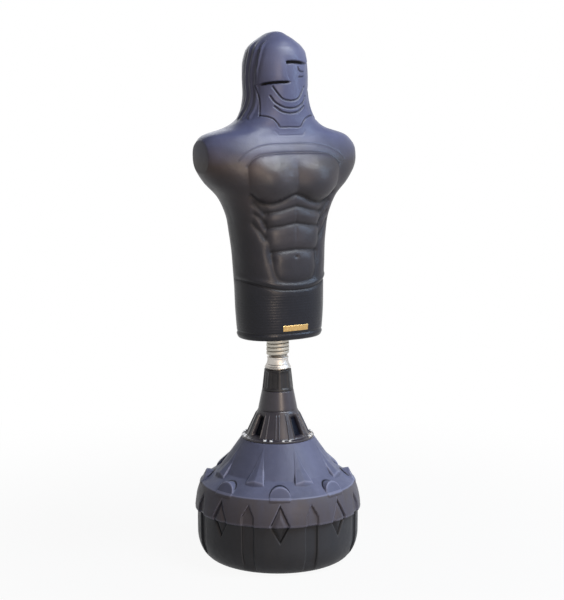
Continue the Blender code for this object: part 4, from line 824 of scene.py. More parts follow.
def make_base_upper():
    """The base from its top to its lip: a turned outline, raised by fins and scoops, sunk by its pattern."""
    top, cone, shoulder, band, lip = upper_profile()
    profile = np.concatenate([top, cone, shoulder, band, lip])
    grid = turned_grid(profile, BASE_COLUMNS, PATTERN_TURN)
    angle, radius, height = polar(grid)
    sideways, sideways_between = pattern_sideways(angle, radius)
    from_filler = np.abs(pattern_offset(angle, 1, FILLER_ANGLE))
    fin, scoop, wear_and_painted_light = base_relief(radius, height, sideways, sideways_between)
    scoop = np.where(from_filler < TURN / PATTERN_COUNT / 2, 0.0, scoop)
    first, last = len(top) + 1, len(top) + len(cone) + len(shoulder)
    zone = slice(first, last)
    raised = np.maximum(fin, scoop)
    height[zone] = soft_max(height[zone], raised[zone], SOFTNESS)
    filler_x, filler_y = filler_centre()
    from_centre = np.hypot(grid[:, :, 0] - filler_x, grid[:, :, 1] - filler_y)
    boss = FILLER_BOSS_TOP - 3 * np.maximum(from_centre - FILLER_BOSS_RADIUS, 0)
    well = FILLER_BOSS_TOP - 20 * MM * smooth_step((FILLER_BORE_RADIUS + 2 * MM - from_centre) / (3 * MM))
    height[zone] = soft_max(height[zone], np.minimum(boss, well)[zone], SOFTNESS)
    channel, diamond, side_wear_and_painted_light = side_relief(height, sideways, sideways_between)
    wear_and_painted_light[:first] = 0
    wear_and_painted_light[last:] = side_wear_and_painted_light[last:]
    # Painted highlight: a light line along the shoulder's edge and along the lip.
    wear_and_painted_light[last - 1:last + 1] = np.maximum(wear_and_painted_light[last - 1:last + 1], 0.55)
    wear_and_painted_light[-3:] = np.maximum(wear_and_painted_light[-3:], 0.25)
    sunk = np.maximum(channel, diamond)
    sunk[:first + len(cone)] = 0
    keep = smooth_step((SHOULDER_HEIGHT + 2 * MM - height) / (6 * MM))
    keep[zone] = 0
    step = smooth_step((SCOOP_HALF_WIDTH - np.abs(sideways)) / (3 * MM) + 0.5)
    step *= window(height, SCOOP_FOOT, SHOULDER_HEIGHT + 3 * MM, 2.5 * MM, 3 * MM)
    step[zone] = 0
    radius = radius - sunk * keep + SCOOP_STEP * step
    outer = from_polar(angle, radius, height)
    inner_profile = np.concatenate([profile[:len(top) + 1:3], profile[len(top) + 1:-3:10], profile[-3:-2]])
    inner_profile[:, 1] -= TANK_WALL
    inner_profile[2:, 0] -= TANK_WALL + CHANNEL_DEPTH
    inner = turned_grid(inner_profile, BASE_COLUMNS, PATTERN_TURN)
    base = grid_object("base_upper_moulding", np.concatenate([inner, outer[::-1]]), ring=True)
    add_attribute(base, "wear_and_painted_light", np.concatenate([0 * inner[:, :, 0], wear_and_painted_light[::-1]]))
    return base


def make_base_lower():
    """The base below its lip: a wall with a round foot, sunk by the lower part of the pattern."""
    under_lip = LIP_HEIGHT - 1.6 * MM
    rim = np.array([(LIP_RADIUS - 12 * MM, under_lip), (LOWER_RADIUS + 1.2 * MM, under_lip)])
    wall = straight((LOWER_RADIUS + 0.4 * MM, LIP_HEIGHT - 4 * MM), (LOWER_RADIUS, CORNER_HEIGHT), 38)
    turn = np.linspace(0, math.pi / 2, 32)[1:]
    corner = np.stack([FOOT_RADIUS + (LOWER_RADIUS - FOOT_RADIUS) * np.cos(turn),
                       CORNER_HEIGHT * (1 - np.sin(turn))], axis=1)
    floor = straight((FOOT_RADIUS, 0), (30 * MM, 0), 8)[1:]
    profile = np.concatenate([rim, wall, corner, floor])
    grid = turned_grid(profile, BASE_COLUMNS, PATTERN_TURN)
    angle, radius, height = polar(grid)
    channel, diamond, wear_and_painted_light = side_relief(height, *pattern_sideways(angle, radius))
    sunk = np.maximum(channel, diamond)
    sunk[0] = 0
    fade = smooth_step((height - 8 * MM) / (34 * MM)) * smooth_step((radius - 150 * MM) / (40 * MM))
    # Wear and painted highlight on the edges stay faint here; the painted shade in the channels and diamonds
    # stays whole.
    wear_and_painted_light = np.minimum(wear_and_painted_light, 0.35)
    wear_and_painted_light[:2] = 0
    along = np.gradient(profile, axis=0)
    normal = np.stack([along[:, 1], -along[:, 0]], axis=1)
    normal /= np.linalg.norm(normal, axis=1, keepdims=True)
    outside = -normal[:, 0][:, None]
    down = -normal[:, 1][:, None]
    move = sunk * fade
    outside[:2] = 1
    down[:2] = 0
    radius = radius - move * outside
    height = np.maximum(height - move * down, 0)
    outer = from_polar(angle, radius, height)
    depth = TANK_WALL + 1 * MM
    inner_wall = profile[2:2 + len(wall):12] - (depth + CHANNEL_DEPTH - 4 * MM, 0)
    inner_turn = np.linspace(0, math.pi / 2, 8)
    reach = LOWER_RADIUS - FOOT_RADIUS - depth
    inner_corner = np.stack([FOOT_RADIUS - 4 * MM + reach * np.cos(inner_turn),
                             depth + (CORNER_HEIGHT - depth) * (1 - np.sin(inner_turn))], axis=1)
    inner_profile = np.concatenate([inner_wall, inner_corner, [(30 * MM, depth)]])
    inner = turned_grid(inner_profile, BASE_COLUMNS, PATTERN_TURN)
    grid = np.concatenate([outer[::-1], inner])
    base = grid_object("base_lower_moulding", grid, (0, 0, 0), (0, 0, depth))
    outer_wear_and_painted_light = (wear_and_painted_light * fade)[::-1].ravel()
    add_attribute(base, "wear_and_painted_light", np.concatenate([outer_wear_and_painted_light, np.zeros(inner[:, :, 0].size + 2)]))
    return base


def cover_profile():
    """The cover's outline: flange, bell, the groove over it, cone, shoulder and threaded neck."""
    flange = np.concatenate([points_at(GUIDE_FLANGE_RADIUS, FLANGE_BOTTOM, (2, 0)),
                             points_at(FLANGE_RADIUS, FLANGE_BOTTOM, (-1, 0), (0, 1)),
                             points_at(FLANGE_RADIUS, FLANGE_TOP, (0, -1.5), (-0.5, -0.5), (-1.5, 0))])
    control = ((BELL_FOOT_RADIUS + BELL_TOP_RADIUS) / 2 + BELL_CURVE, (FLANGE_TOP + BELL_TOP) / 2 - 2 * MM)
    fillet = quadratic(*points_at(BELL_FOOT_RADIUS, FLANGE_TOP, (4, 0), (0.5, 0), (-1, 3)), 6)
    bell_line = quadratic((BELL_FOOT_RADIUS, FLANGE_TOP), control, (BELL_TOP_RADIUS, BELL_TOP), 42)[3:]
    groove = points_at(BELL_TOP_RADIUS, BELL_TOP, (-0.3, 0.8), (-2.6, 1.6), (-2.8, 4), (-1.4, 5.2))
    cone = straight((BELL_TOP_RADIUS - 1.4 * MM, BELL_TOP + 5.6 * MM),
                    (COVER_TOP_RADIUS, COVER_TOP - 1.5 * MM), 12)
    shoulder = points_at(COVER_TOP_RADIUS, COVER_TOP, (-0.5, -0.4), (-1.5, 0))
    neck = straight((NECK_RADIUS, COVER_TOP), (NECK_RADIUS, NECK_TOP), 36)
    return flange, fillet, bell_line, groove, cone, shoulder, neck


def make_cover():
    """The glossy bell and cone: a turned outline with four sunk pockets, thin ribs and a threaded neck."""
    outside = np.concatenate(cover_profile())
    seat_height = FLANGE_BOTTOM + 3.3 * MM
    inside = np.array([(COVER_BORE, NECK_TOP), (COVER_BORE, NECK_TOP - 48 * MM), (48 * MM, BELL_TOP),
                       (64 * MM, BELL_TOP - 40 * MM), (82 * MM, FLANGE_TOP + 14 * MM), (84 * MM, FLANGE_TOP),
                       (84 * MM, seat_height), (GUIDE_FLANGE_RADIUS + 2 * MM, seat_height)])
    grid = turned_grid(np.concatenate([outside, inside]), COVER_COLUMNS, PATTERN_TURN)
    angle, radius, height = polar(grid)
    bays = PATTERN_TURN + POCKET_TURN
    to_pocket = np.abs(pattern_offset(angle, POCKET_COUNT, bays + TURN / POCKET_COUNT / 2))
    to_bay = np.abs(pattern_offset(angle, POCKET_COUNT, bays))
    sideways = radius * (POCKET_HALF_ANGLE - to_pocket)
    upright = window(height, POCKET_BOTTOM - 6 * MM, POCKET_TOP + 6 * MM, 8 * MM, 22 * MM)
    on_bell = (height > FLANGE_TOP + 1 * MM) & (height < BELL_TOP)
    sunk = smooth_step(sideways / (3 * MM)) * upright * on_bell
    rib_zone = window(height, FLANGE_TOP + 2 * MM, BELL_TOP - 3 * MM, 6 * MM, 12 * MM)
    ribs = 3.6 * MM * bell(sideways + 1.2 * MM, 1.3 * MM)
    ribs += 2.4 * MM * bell(radius * (to_bay - math.radians(3.5)), 1.3 * MM)
    ribs += 3.0 * MM * bell(radius * (to_bay - math.radians(22)), 1.3 * MM)
    relief = np.where(on_bell, ribs * rib_zone - POCKET_DEPTH * sunk, 0.0)
    relief[len(outside):] = 0
    threaded = window(height, COVER_TOP + 4 * MM, NECK_TOP - 3 * MM, 3 * MM, 3 * MM)
    threaded[len(outside):] = 0
    turns = (height / THREAD_PITCH + angle / TURN) % 1
    radius = radius + relief - 0.9 * MM * threaded * np.abs(2 * turns - 1)
    cover = grid_object("cone_cover_moulding", from_polar(angle, radius, height), ring=True)
    add_attribute(cover, "sunk", sunk)
    return cover


def make_collar():
    """The twist-lock collar: a cone with a plain rim, eight broad flutes and narrow ridges between them."""
    outer_low = np.concatenate([points_at(NECK_RADIUS, COLLAR_BOTTOM, (0.3, 0)),
                                points_at(COLLAR_BOTTOM_RADIUS, COLLAR_BOTTOM, (-1, 0), (0, 1))])
    outer = straight((COLLAR_BOTTOM_RADIUS - 0.2 * MM, COLLAR_BOTTOM + 2.5 * MM),
                     (COLLAR_TOP_RADIUS, COLLAR_TOP - 2 * MM), 48)
    outer_top = np.concatenate([points_at(COLLAR_TOP_RADIUS, COLLAR_TOP, (-0.5, -0.6), (-1.8, 0)),
                                points_at(MAST_RADIUS, COLLAR_TOP, (0.9, 0))])
    ceiling, ledge, cavity = COLLAR_TOP - 6 * MM, NECK_TOP + 0.9 * MM, 39.5 * MM
    inner = np.array([(MAST_RADIUS + 0.9 * MM, ceiling), (cavity, ceiling), (cavity, ledge),
                      (NECK_RADIUS + 0.3 * MM, ledge)])
    grid = turned_grid(np.concatenate([outer_low, outer, outer_top, inner]), COLLAR_COLUMNS)
    angle, radius, height = polar(grid)
    across = radius * np.abs(pattern_offset(angle, COLLAR_GROOVES, COLLAR_GROOVE_TURN))
    upright = window(height, COLLAR_BOTTOM + 6 * MM, COLLAR_TOP - 5 * MM, 5 * MM, 4 * MM)
    sunk = 2.6 * MM * (1 - smooth_step((across - 8 * MM) / (8 * MM))) * upright
    sunk[:len(outer_low)] = 0
    sunk[len(outer_low) + len(outer):] = 0
    return grid_object("lock_collar_moulding", from_polar(angle, radius - sunk, height), ring=True)


def make_mast():
    """The sliding mast: a tube with a closed head and a drilled spigot."""
    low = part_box("mast")[0][2]
    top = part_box("mast")[1][2]
    head = MAST_TOP - 6 * MM
    inner = MAST_RADIUS - 3 * MM
    drill = 6.3 * MM
    profile = np.concatenate([
        straight((inner, low), (MAST_RADIUS, low), 2),
        straight((MAST_RADIUS, low + 0.5 * MM), (MAST_RADIUS, MAST_TOP - 1 * MM), 12),
        points_at(MAST_RADIUS, MAST_TOP, (-0.4, -0.3), (-1, 0)),
        points_at(SPIGOT_RADIUS, MAST_TOP, (0, 0)),
        points_at(SPIGOT_RADIUS, top, (0, -0.6), (-0.6, 0)),
        points_at(drill, top, (0, 0), (0, -40))])
    upper = turned_grid(profile, TUBE_COLUMNS)
    lower = turned_grid(np.array([(inner, head)]), TUBE_COLUMNS)
    return grid_object("mast_tube", np.concatenate([lower, upper]), (0, 0, head), (0, 0, top - 40 * MM))


def make_seat():
    """The flared spring seat: a skirt over the mast's head, two faint rings, a neck and the coils' spigot."""
    low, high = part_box("spring_seat")
    bore = SPIGOT_RADIUS + 0.3 * MM
    hub = MAST_RADIUS + 1.5 * MM
    hub_height = MAST_TOP + 2.6 * MM
    spigot = COIL_RADIUS - WIRE_RADIUS - 2 * MM
    flare = quadratic((SEAT_RIM_RADIUS, SEAT_RIM + 2 * MM), (SEAT_RADIUS + 0.5 * MM, SEAT_RIM + 14 * MM),
                      (SEAT_RADIUS, SEAT_RIM + 28 * MM), 40)
    ringed = flare[:, 0] + 0.7 * MM * bell(flare[:, 1] - SEAT_RIM - 10 * MM, 1.6 * MM)
    flare[:, 0] = ringed - 0.7 * MM * bell(flare[:, 1] - SEAT_RIM - 13 * MM, 1.2 * MM)
    profile = np.concatenate([
        np.array([(bore, hub_height), (hub, hub_height), (hub, low[2])]),
        points_at(SEAT_RIM_RADIUS, low[2], (-1, 0), (0, 1)),
        flare,
        points_at(SEAT_RADIUS, SEAT_TOP, (0.2, -5), (1.2, -4), (1.4, -1), (0.6, 0)),
        points_at(spigot, SEAT_TOP, (0, 0)),
        points_at(spigot, high[2], (0, -1), (-1, 0)),
        points_at(bore, high[2], (0, 0))])
    return grid_object("spring_seat_turning", turned_grid(profile, RIM_COLUMNS), ring=True)


def make_spring_half(name, first_turn, last_turn):
    """Half of the close-wound spring: the wire's squarish section along a helix, closed at both ends."""
    steps = int((last_turn - first_turn) * WIRE_STEPS_PER_TURN)
    turn = TURN * np.linspace(first_turn, last_turn, steps + 1)
    centre = from_polar(turn, COIL_RADIUS, SPRING_START + COIL_PITCH * turn / TURN)
    outwards = from_polar(turn, 1, 0 * turn)
    run = np.gradient(centre, axis=0)
    run /= np.linalg.norm(run, axis=1, keepdims=True)
    upwards = np.cross(run, outwards)
    around = TURN * np.arange(WIRE_SIDES) / WIRE_SIDES
    out = WIRE_RADIUS * np.sign(np.cos(around)) * np.abs(np.cos(around)) ** WIRE_SQUARENESS
    up = WIRE_RADIUS * np.sign(np.sin(around)) * np.abs(np.sin(around)) ** WIRE_SQUARENESS
    ring = centre[:, None] + out[None, :, None] * outwards[:, None] + up[None, :, None] * upwards[:, None]
    return grid_object(name, ring, centre[0], centre[-1])


def hexagon(angle):
    """Radii at angles of a regular six-sided outline whose flats lie one unit from its centre."""
    return 1 / np.cos(pattern_offset(angle, 6, 0.0))


def make_flange_bolt(index, angle):
    """A hexagon bolt with a washer face and a chamfered head, from a turned outline pressed to six flats."""
    outline = np.array(BOLT_OUTLINE) * MM
    grid = turned_grid(outline, BOLT_COLUMNS)
    pressed = slice(4, 7)
    six = BOLT_FLATS * hexagon(TURN * np.arange(BOLT_COLUMNS) / BOLT_COLUMNS)
    grid[pressed, :, :2] *= six[:, None]
    seat = np.array([BOLT_CIRCLE * math.cos(angle), BOLT_CIRCLE * math.sin(angle), FLANGE_TOP + 0.3 * MM])
    foot, crown = (seat + (0, 0, height) for height in (outline[0, 1], outline[-1, 1]))
    bolt = grid_object(f"flange_bolt_{index:02d}_hex", grid + seat, foot, crown)
    bolt.data.set_sharp_from_angle(angle=math.radians(28))
    return bolt


def make_filler_neck():
    """The threaded neck that stands on the filler's boss."""
    x, y = filler_centre()
    root = FILLER_BOSS_TOP - 18 * MM
    profile = np.concatenate([
        np.array([(FILLER_BORE_RADIUS, root), (FILLER_NECK_RADIUS, root)]),
        straight((FILLER_NECK_RADIUS, FILLER_BOSS_TOP - 2 * MM),
                 (FILLER_NECK_RADIUS, FILLER_NECK_TOP - 0.6 * MM), 28),
        points_at(FILLER_NECK_RADIUS, FILLER_NECK_TOP, (-0.6, 0)),
        points_at(FILLER_BORE_RADIUS, FILLER_NECK_TOP, (0, 0))])
    grid = turned_grid(profile, TUBE_COLUMNS)
    angle, radius, height = polar(grid)
    threaded = window(height, FILLER_BOSS_TOP + 2 * MM, FILLER_NECK_TOP - 1 * MM, 2 * MM, 2 * MM)
    turns = (height / FILLER_THREAD_PITCH + angle / TURN) % 1
    radius = radius * (1 - 0.03 * threaded * np.abs(2 * turns - 1))
    return grid_object("filler_neck_ring", from_polar(angle, radius, height) + np.array([x, y, 0]), ring=True)


def make_filler_cap():
    """The ribbed screw cap over the filler neck."""
    x, y = filler_centre()
    low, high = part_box("filler_cap")
    outer = (high[0] - low[0]) / 2
    inner = FILLER_NECK_RADIUS + 0.6 * MM
    ceiling = high[2] - 5 * MM
    profile = np.concatenate([
        points_at(inner, low[2], (0, 0)),
        points_at(outer, low[2], (-0.6, 0), (0, 0.8)),
        straight((outer, low[2] + 1.5 * MM), (outer - 0.4 * MM, high[2] - 3 * MM), 8),
        quadratic(*points_at(outer, high[2], (-0.4, -2.6), (-0.6, 0), (-3.5, 0)), 6),
        points_at(outer, high[2], (-7, -0.1), (-8, -1)),
        np.array([(6 * MM, high[2] - 1 * MM)])])
    grid = turned_grid(profile, CAP_COLUMNS)
    angle, radius, height = polar(grid)
    grip = window(height, low[2] + 1 * MM, high[2] - 1.5 * MM, 1 * MM, 2 * MM)
    grip *= radius > outer - 2 * MM
    radius = radius * (1 - 0.035 * grip * smooth_step(0.5 + 1.4 * np.cos(CAP_RIBS * angle)))
    roof = turned_grid(np.array([(inner, ceiling)]), CAP_COLUMNS)
    grid = np.concatenate([roof, from_polar(angle, radius, height)]) + np.array([x, y, 0])
    return grid_object("filler_cap_ribbed", grid, (x, y, ceiling), (x, y, high[2] - 1 * MM))


def make_neck_cup():
    """The black rim of the figure's socket, with a rolled lower edge."""
    low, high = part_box("neck_cup")
    outer = (high[0] - low[0]) / 2
    inner = outer - 3 * MM
    roll = TURN / 2 * np.linspace(0, 1, 8) + math.pi
    middle = (outer + inner) / 2
    lower = np.stack([middle + 1.5 * MM * np.cos(roll), low[2] + 1.5 * MM + 1.5 * MM * np.sin(roll)], axis=1)
    profile = np.concatenate([lower, points_at(outer, high[2], (0, -0.5), (-0.5, 0)),
                              points_at(inner, high[2], (0.5, 0), (0, -0.5))])
    return grid_object("neck_cup_rim", turned_grid(profile, RIM_COLUMNS), ring=True)


def make_foil_bar():
    """A blank gold bar low on the waist band: a rounded strip that follows the figure's front."""
    angles = front_angles(FIGURE_COLUMNS * 4, FRONT_CROWDING)
    heights = np.linspace(FOIL_BOTTOM, FOIL_TOP, FOIL_ROWS)
    rings = figure_rings(heights, 0.0, angles)
    normals = outward(rings)
    rings = rings + normals * figure_ripples(rings)[:, :, None]
    chosen = np.abs(way_round(rings)[FOIL_ROWS // 2]) < FOIL_HALF_LENGTH
    chosen_rings, chosen_normals = rings[:, chosen], normals[:, chosen]
    outer = chosen_rings + chosen_normals * 0.7 * MM
    inner = chosen_rings - chosen_normals * 1.2 * MM
    shell = np.concatenate([outer, inner[:, ::-1]], axis=1)
    first, last = shell[0].mean(axis=0), shell[-1].mean(axis=0)
    return grid_object("waist_foil_bar", shell, first, last)


class Finish:
    """A Principled material with helpers for the node chains that its surfaces need."""

    def __init__(self, name, colour, roughness, metallic=0.0, **sockets):
        self.material = bpy.data.materials.new(name)
        self.material.use_nodes = True
        self.nodes = self.material.node_tree.nodes
        self.links = self.material.node_tree.links
        self.shader = self.nodes["Principled BSDF"]
        self.shader.inputs["Base Color"].default_value = (*colour, 1)
        self.shader.inputs["Roughness"].default_value = roughness
        self.shader.inputs["Metallic"].default_value = metallic
        for socket, value in sockets.items():
            self.shader.inputs[socket.replace("_", " ")].default_value = value
        self.coordinates = self.nodes.new("ShaderNodeTexCoord").outputs["Object"]
        self.bump_chain = None

    def link(self, output, target):
        """Joins an output to an input."""
        self.links.new(output, target)

    def stretched(self, scale):
        """Object coordinates, scaled along each axis."""
        mapping = self.nodes.new("ShaderNodeMapping")
        mapping.inputs["Scale"].default_value = scale
        self.link(self.coordinates, mapping.inputs["Vector"])
        return mapping.outputs["Vector"]

    def noise(self, scale, detail=4.0, roughness=0.5, distortion=0.0, stretch=None):
        """Cloudy noise from 0 to 1."""
        node = self.nodes.new("ShaderNodeTexNoise")
        node.inputs["Scale"].default_value = scale
        node.inputs["Detail"].default_value = detail
        node.inputs["Roughness"].default_value = roughness
        node.inputs["Distortion"].default_value = distortion
        self.link(self.stretched(stretch) if stretch else self.coordinates, node.inputs["Vector"])
        return node.outputs["Fac"]

    def cells(self, scale):
        """Distances to the middles of random cells."""
        node = self.nodes.new("ShaderNodeTexVoronoi")
        node.inputs["Scale"].default_value = scale
        self.link(self.coordinates, node.inputs["Vector"])
        return node.outputs["Distance"]

    def attribute(self, name):
        """A number that the mesh holds for each vertex."""
        node = self.nodes.new("ShaderNodeAttribute")
        node.attribute_name = name
        return node.outputs["Fac"]

    def along(self, axis):
        """One of the object coordinates."""
        split = self.nodes.new("ShaderNodeSeparateXYZ")
        self.link(self.coordinates, split.inputs["Vector"])
        return split.outputs[axis]

    def upward(self):
        """One where the surface faces up, minus one where it faces down."""
        geometry = self.nodes.new("ShaderNodeNewGeometry")
        split = self.nodes.new("ShaderNodeSeparateXYZ")
        self.link(geometry.outputs["Normal"], split.inputs["Vector"])
        return split.outputs["Z"]

    def remap(self, value, low, high, new_low=0.0, new_high=1.0):
        """A value moved evenly from one range to another, and kept in it."""
        node = self.nodes.new("ShaderNodeMapRange")
        node.inputs["From Min"].default_value = low
        node.inputs["From Max"].default_value = high
        node.inputs["To Min"].default_value = new_low
        node.inputs["To Max"].default_value = new_high
        self.link(value, node.inputs["Value"])
        return node.outputs["Result"]

    def computed(self, operation, a, b):
        """The result of a math node on a value and another value or number."""
        node = self.nodes.new("ShaderNodeMath")
        node.operation = operation
        self.link(a, node.inputs[0])
        if isinstance(b, (int, float)):
            node.inputs[1].default_value = b
        else:
            self.link(b, node.inputs[1])
        return node.outputs["Value"]

    def times(self, a, b):
        """The product of a value and another value or number."""
        return self.computed("MULTIPLY", a, b)

    def plus(self, a, b):
        """The sum of two values."""
        return self.computed("ADD", a, b)

    def sine(self, value, scale):
        """The sine of a scaled value."""
        return self.computed("SINE", self.times(value, scale), 0.0)

    def blended(self, factor, first, second):
        """The first colour where the factor is 0, the second where it is 1."""
        node = self.nodes.new("ShaderNodeMix")
        node.data_type = "RGBA"
        self.link(factor, node.inputs["Factor"])
        for socket, value in ((node.inputs[6], first), (node.inputs[7], second)):
            if isinstance(value, tuple):
                socket.default_value = (*value, 1)
            else:
                self.link(value, socket)
        return node.outputs[2]

    def colour(self, output):
        """Sets the base colour."""
        self.link(output, self.shader.inputs["Base Color"])

    def roughness(self, output):
        """Sets the roughness."""
        self.link(output, self.shader.inputs["Roughness"])

    def drive(self, socket, output):
        """Sets another input of the shader."""
        self.link(output, self.shader.inputs[socket])

    def bump(self, height, distance, strength=1.0):
        """Adds a bump of a height value to those before it."""
        node = self.nodes.new("ShaderNodeBump")
        node.inputs["Distance"].default_value = distance
        node.inputs["Strength"].default_value = strength
        self.link(height, node.inputs["Height"])
        if self.bump_chain is not None:
            self.link(self.bump_chain, node.inputs["Normal"])
        self.bump_chain = node.outputs["Normal"]
        self.link(self.bump_chain, self.shader.inputs["Normal"])


def leather():
    """Pebble-grain moulded leather: slate blue on top, partly painted cool light, charcoal below, near black
    on the waist.
    """
    f = Finish("moulded_leather", (0.04, 0.04, 0.05), 0.38)
    cloud = f.noise(5, 5, 0.55)
    shade = f.remap(cloud, 0.35, 0.7)
    crease = f.remap(f.attribute("crease"), 0.05, 0.9)
    waist = f.blended(shade, *WAIST_TONES)
    charcoal = f.blended(shade, *CHARCOAL_TONES)
    slate = f.blended(shade, *SLATE_TONES)
    level = f.along("Z")
    edge = f.plus(level, f.times(cloud, 0.10))
    lower = f.blended(f.remap(edge, 0.92, 1.16), waist, charcoal)
    # Painted reflection: warm brown patches in a band over the upper chest and shoulders.
    band = f.times(f.remap(edge, 1.28, 1.34), f.remap(edge, 1.44, 1.38))
    warm_reflection_patches = f.remap(f.noise(3.2, 3, 0.5), 0.42, 0.60, 0.05, 0.6)
    lower = f.blended(f.times(band, warm_reflection_patches), lower, PAINTED_WARM_REFLECTION)
    # Slate blue over the head and shoulders: partly painted cool light from above.
    tones_with_painted_light = f.blended(f.remap(edge, 1.34, 1.42), lower, slate)
    # Painted shade: near black in the grooves, as deep as the mesh's crease value.
    f.colour(f.blended(crease, tones_with_painted_light, PAINTED_CREASE_SHADE))
    f.drive("Specular IOR Level", f.remap(level, 0.85, 1.40, 0.25, 0.23))
    polish = f.remap(level, 0.86, 0.96, -0.07, 0.0)
    grain = f.remap(f.noise(38, 6, 0.6), 0.3, 0.75, 0.33, 0.46)
    f.roughness(f.plus(polish, f.plus(grain, f.times(crease, 0.25))))
    waist_lines = f.sine(level, TURN / WAIST_LINE_SPACING)
    f.bump(f.times(waist_lines, f.remap(level, 0.885, 0.875)), 0.00018, 0.45)
    f.bump(f.cells(620), 0.00016, 0.5)
    f.bump(f.noise(150, 5, 0.6), 0.0005, 0.35)
    f.bump(f.noise(17, 4, 0.5, 0.6), 0.0030, 0.35)
    return f.material


def tank_plastic(name, tones, gloss, side):
    """Blow-moulded plastic: stipple, flow marks, dust and scuffs, a painted-shade tone under the shoulder."""
    dark, light = tones
    f = Finish(name, light, gloss, Specular_IOR_Level=0.14)
    flow = f.noise(7, 5, 0.6, 0.8, (1, 1, 0.35))
    tone = f.blended(f.remap(flow, 0.35, 0.68), dark, light)
    lower = f.remap(f.along("Z"), SHOULDER_HEIGHT - 4 * MM, SHOULDER_HEIGHT - 0.5 * MM)
    streak = f.noise(34, 4, 0.6, 0.0, (1, 1, 0.05))
    # Painted shade: under the shoulder the side tone takes over, darker and browner than the upward faces.
    tone = f.blended(lower, f.blended(f.remap(streak, 0.38, 0.66, 0.0, 0.3), side, dark), tone)
    dust = f.times(f.remap(f.upward(), 0.35, 0.95), f.remap(f.noise(46, 6, 0.65), 0.45, 0.75, 0.0, 0.16))
    pale = tuple(min(1.0, 0.06 + 1.5 * c) for c in light)
    scuff = f.times(f.remap(f.noise(24, 8, 0.7, 1.5, (1, 1, 3)), 0.68, 0.76), 0.25)
    wear_and_painted_light = f.attribute("wear_and_painted_light")
    tone = f.blended(f.plus(dust, scuff), tone, pale)
    # Wear and painted highlight: paler where the mesh's value is above nothing.
    tone = f.blended(f.times(f.remap(wear_and_painted_light, 0.0, 1.0), 0.65), tone, pale)
    # Painted shade: near black where the mesh's value falls below nothing, at wall feet and inside the
    # pattern.
    f.colour(f.blended(f.remap(wear_and_painted_light, -0.1, -0.9), tone, tuple(0.12 * c for c in dark)))
    grain = f.remap(f.noise(60, 5, 0.6), 0.3, 0.7, gloss - 0.05, gloss + 0.08)
    f.roughness(f.plus(grain, f.times(dust, 0.5)))
    f.bump(f.noise(900, 3, 0.6), 0.00025, 0.5)
    f.bump(f.noise(14, 4, 0.5, 0.3), 0.0035, 0.30)
    return f.material


def cover_plastic():
    """Glossy injection-moulded plastic with flow lines and scratches; painted shade makes its pockets dark
    and matt.
    """
    f = Finish("slate_gloss_plastic", (0.02, 0.02, 0.028), 0.2)
    tone = f.blended(f.remap(f.noise(9, 4, 0.55, 0.4), 0.35, 0.7), *COVER_TONES)
    # Painted shade: dark colour and little reflection in the sunk pockets.
    sunk = f.remap(f.attribute("sunk"), 0.3, 0.9)
    f.colour(f.blended(sunk, tone, POCKET_PAINTED_SHADE))
    f.drive("Specular IOR Level", f.remap(sunk, 0, 1, 0.48, 0.04))
    scratch = f.remap(f.noise(55, 8, 0.75, 2.0, (1, 1, 0.2)), 0.60, 0.72)
    f.roughness(f.plus(f.remap(f.noise(30, 4), 0.3, 0.7, 0.29, 0.38), f.times(scratch, 0.18)))
    f.bump(f.noise(22, 4, 0.5), 0.0016, 0.25)
    f.bump(f.noise(700, 2, 0.5), 0.00008, 0.4)
    return f.material


def black_plastic():
    """Satin black plastic with a fine moulded grain."""
    f = Finish("black_grip_plastic", (0.020, 0.020, 0.022), 0.42, Specular_IOR_Level=0.26)
    f.colour(f.blended(f.remap(f.noise(12, 5), 0.35, 0.7), *BLACK_TONES))
    f.roughness(f.remap(f.noise(70, 5), 0.3, 0.7, 0.30, 0.46))
    f.bump(f.noise(1100, 2, 0.6), 0.00018, 0.6)
    return f.material


def metal(name, colour, roughness, turned=False):
    """Metal with fine marks: round the axis where it was turned, else in all directions."""
    f = Finish(name, colour, roughness, 1.0)
    marks = f.noise(220, 6, 0.6, 0.0, (1, 1, 6) if turned else (1, 1, 1))
    stain = f.noise(18, 5, 0.6)
    shade = tuple(c * 0.80 for c in colour)
    f.colour(f.blended(f.remap(stain, 0.35, 0.7), shade, colour))
    f.roughness(f.remap(marks, 0.3, 0.7, roughness - 0.10, roughness + 0.10))
    f.bump(marks, 0.00006, 0.6)
    return f.material


def plain_grain(name, colour, other, roughness, scale, distance):
    """A matt stuff of two tones with a grainy surface: foam, sand, rubber or nylon."""
    f = Finish(name, colour, roughness)
    grain = f.noise(scale, 6, 0.65)
    f.colour(f.blended(f.remap(grain, 0.35, 0.68), other, colour))
    f.roughness(f.remap(f.noise(scale / 3), 0.3, 0.7, roughness - 0.06, min(1.0, roughness + 0.04)))
    f.bump(grain, distance, 0.7)
    return f.material


def foil():
    """Gold foil printed on leather: satin metal with a fine, slightly rubbed grain."""
    f = Finish("gold_foil", (0.62, 0.40, 0.16), 0.34, 1.0)
    f.colour(f.blended(f.remap(f.noise(420, 5, 0.6), 0.35, 0.65), *FOIL_TONES))
    f.roughness(f.remap(f.noise(140, 4), 0.3, 0.7, 0.20, 0.45))
    f.bump(f.noise(420, 3), 0.0002, 0.5)
    return f.material


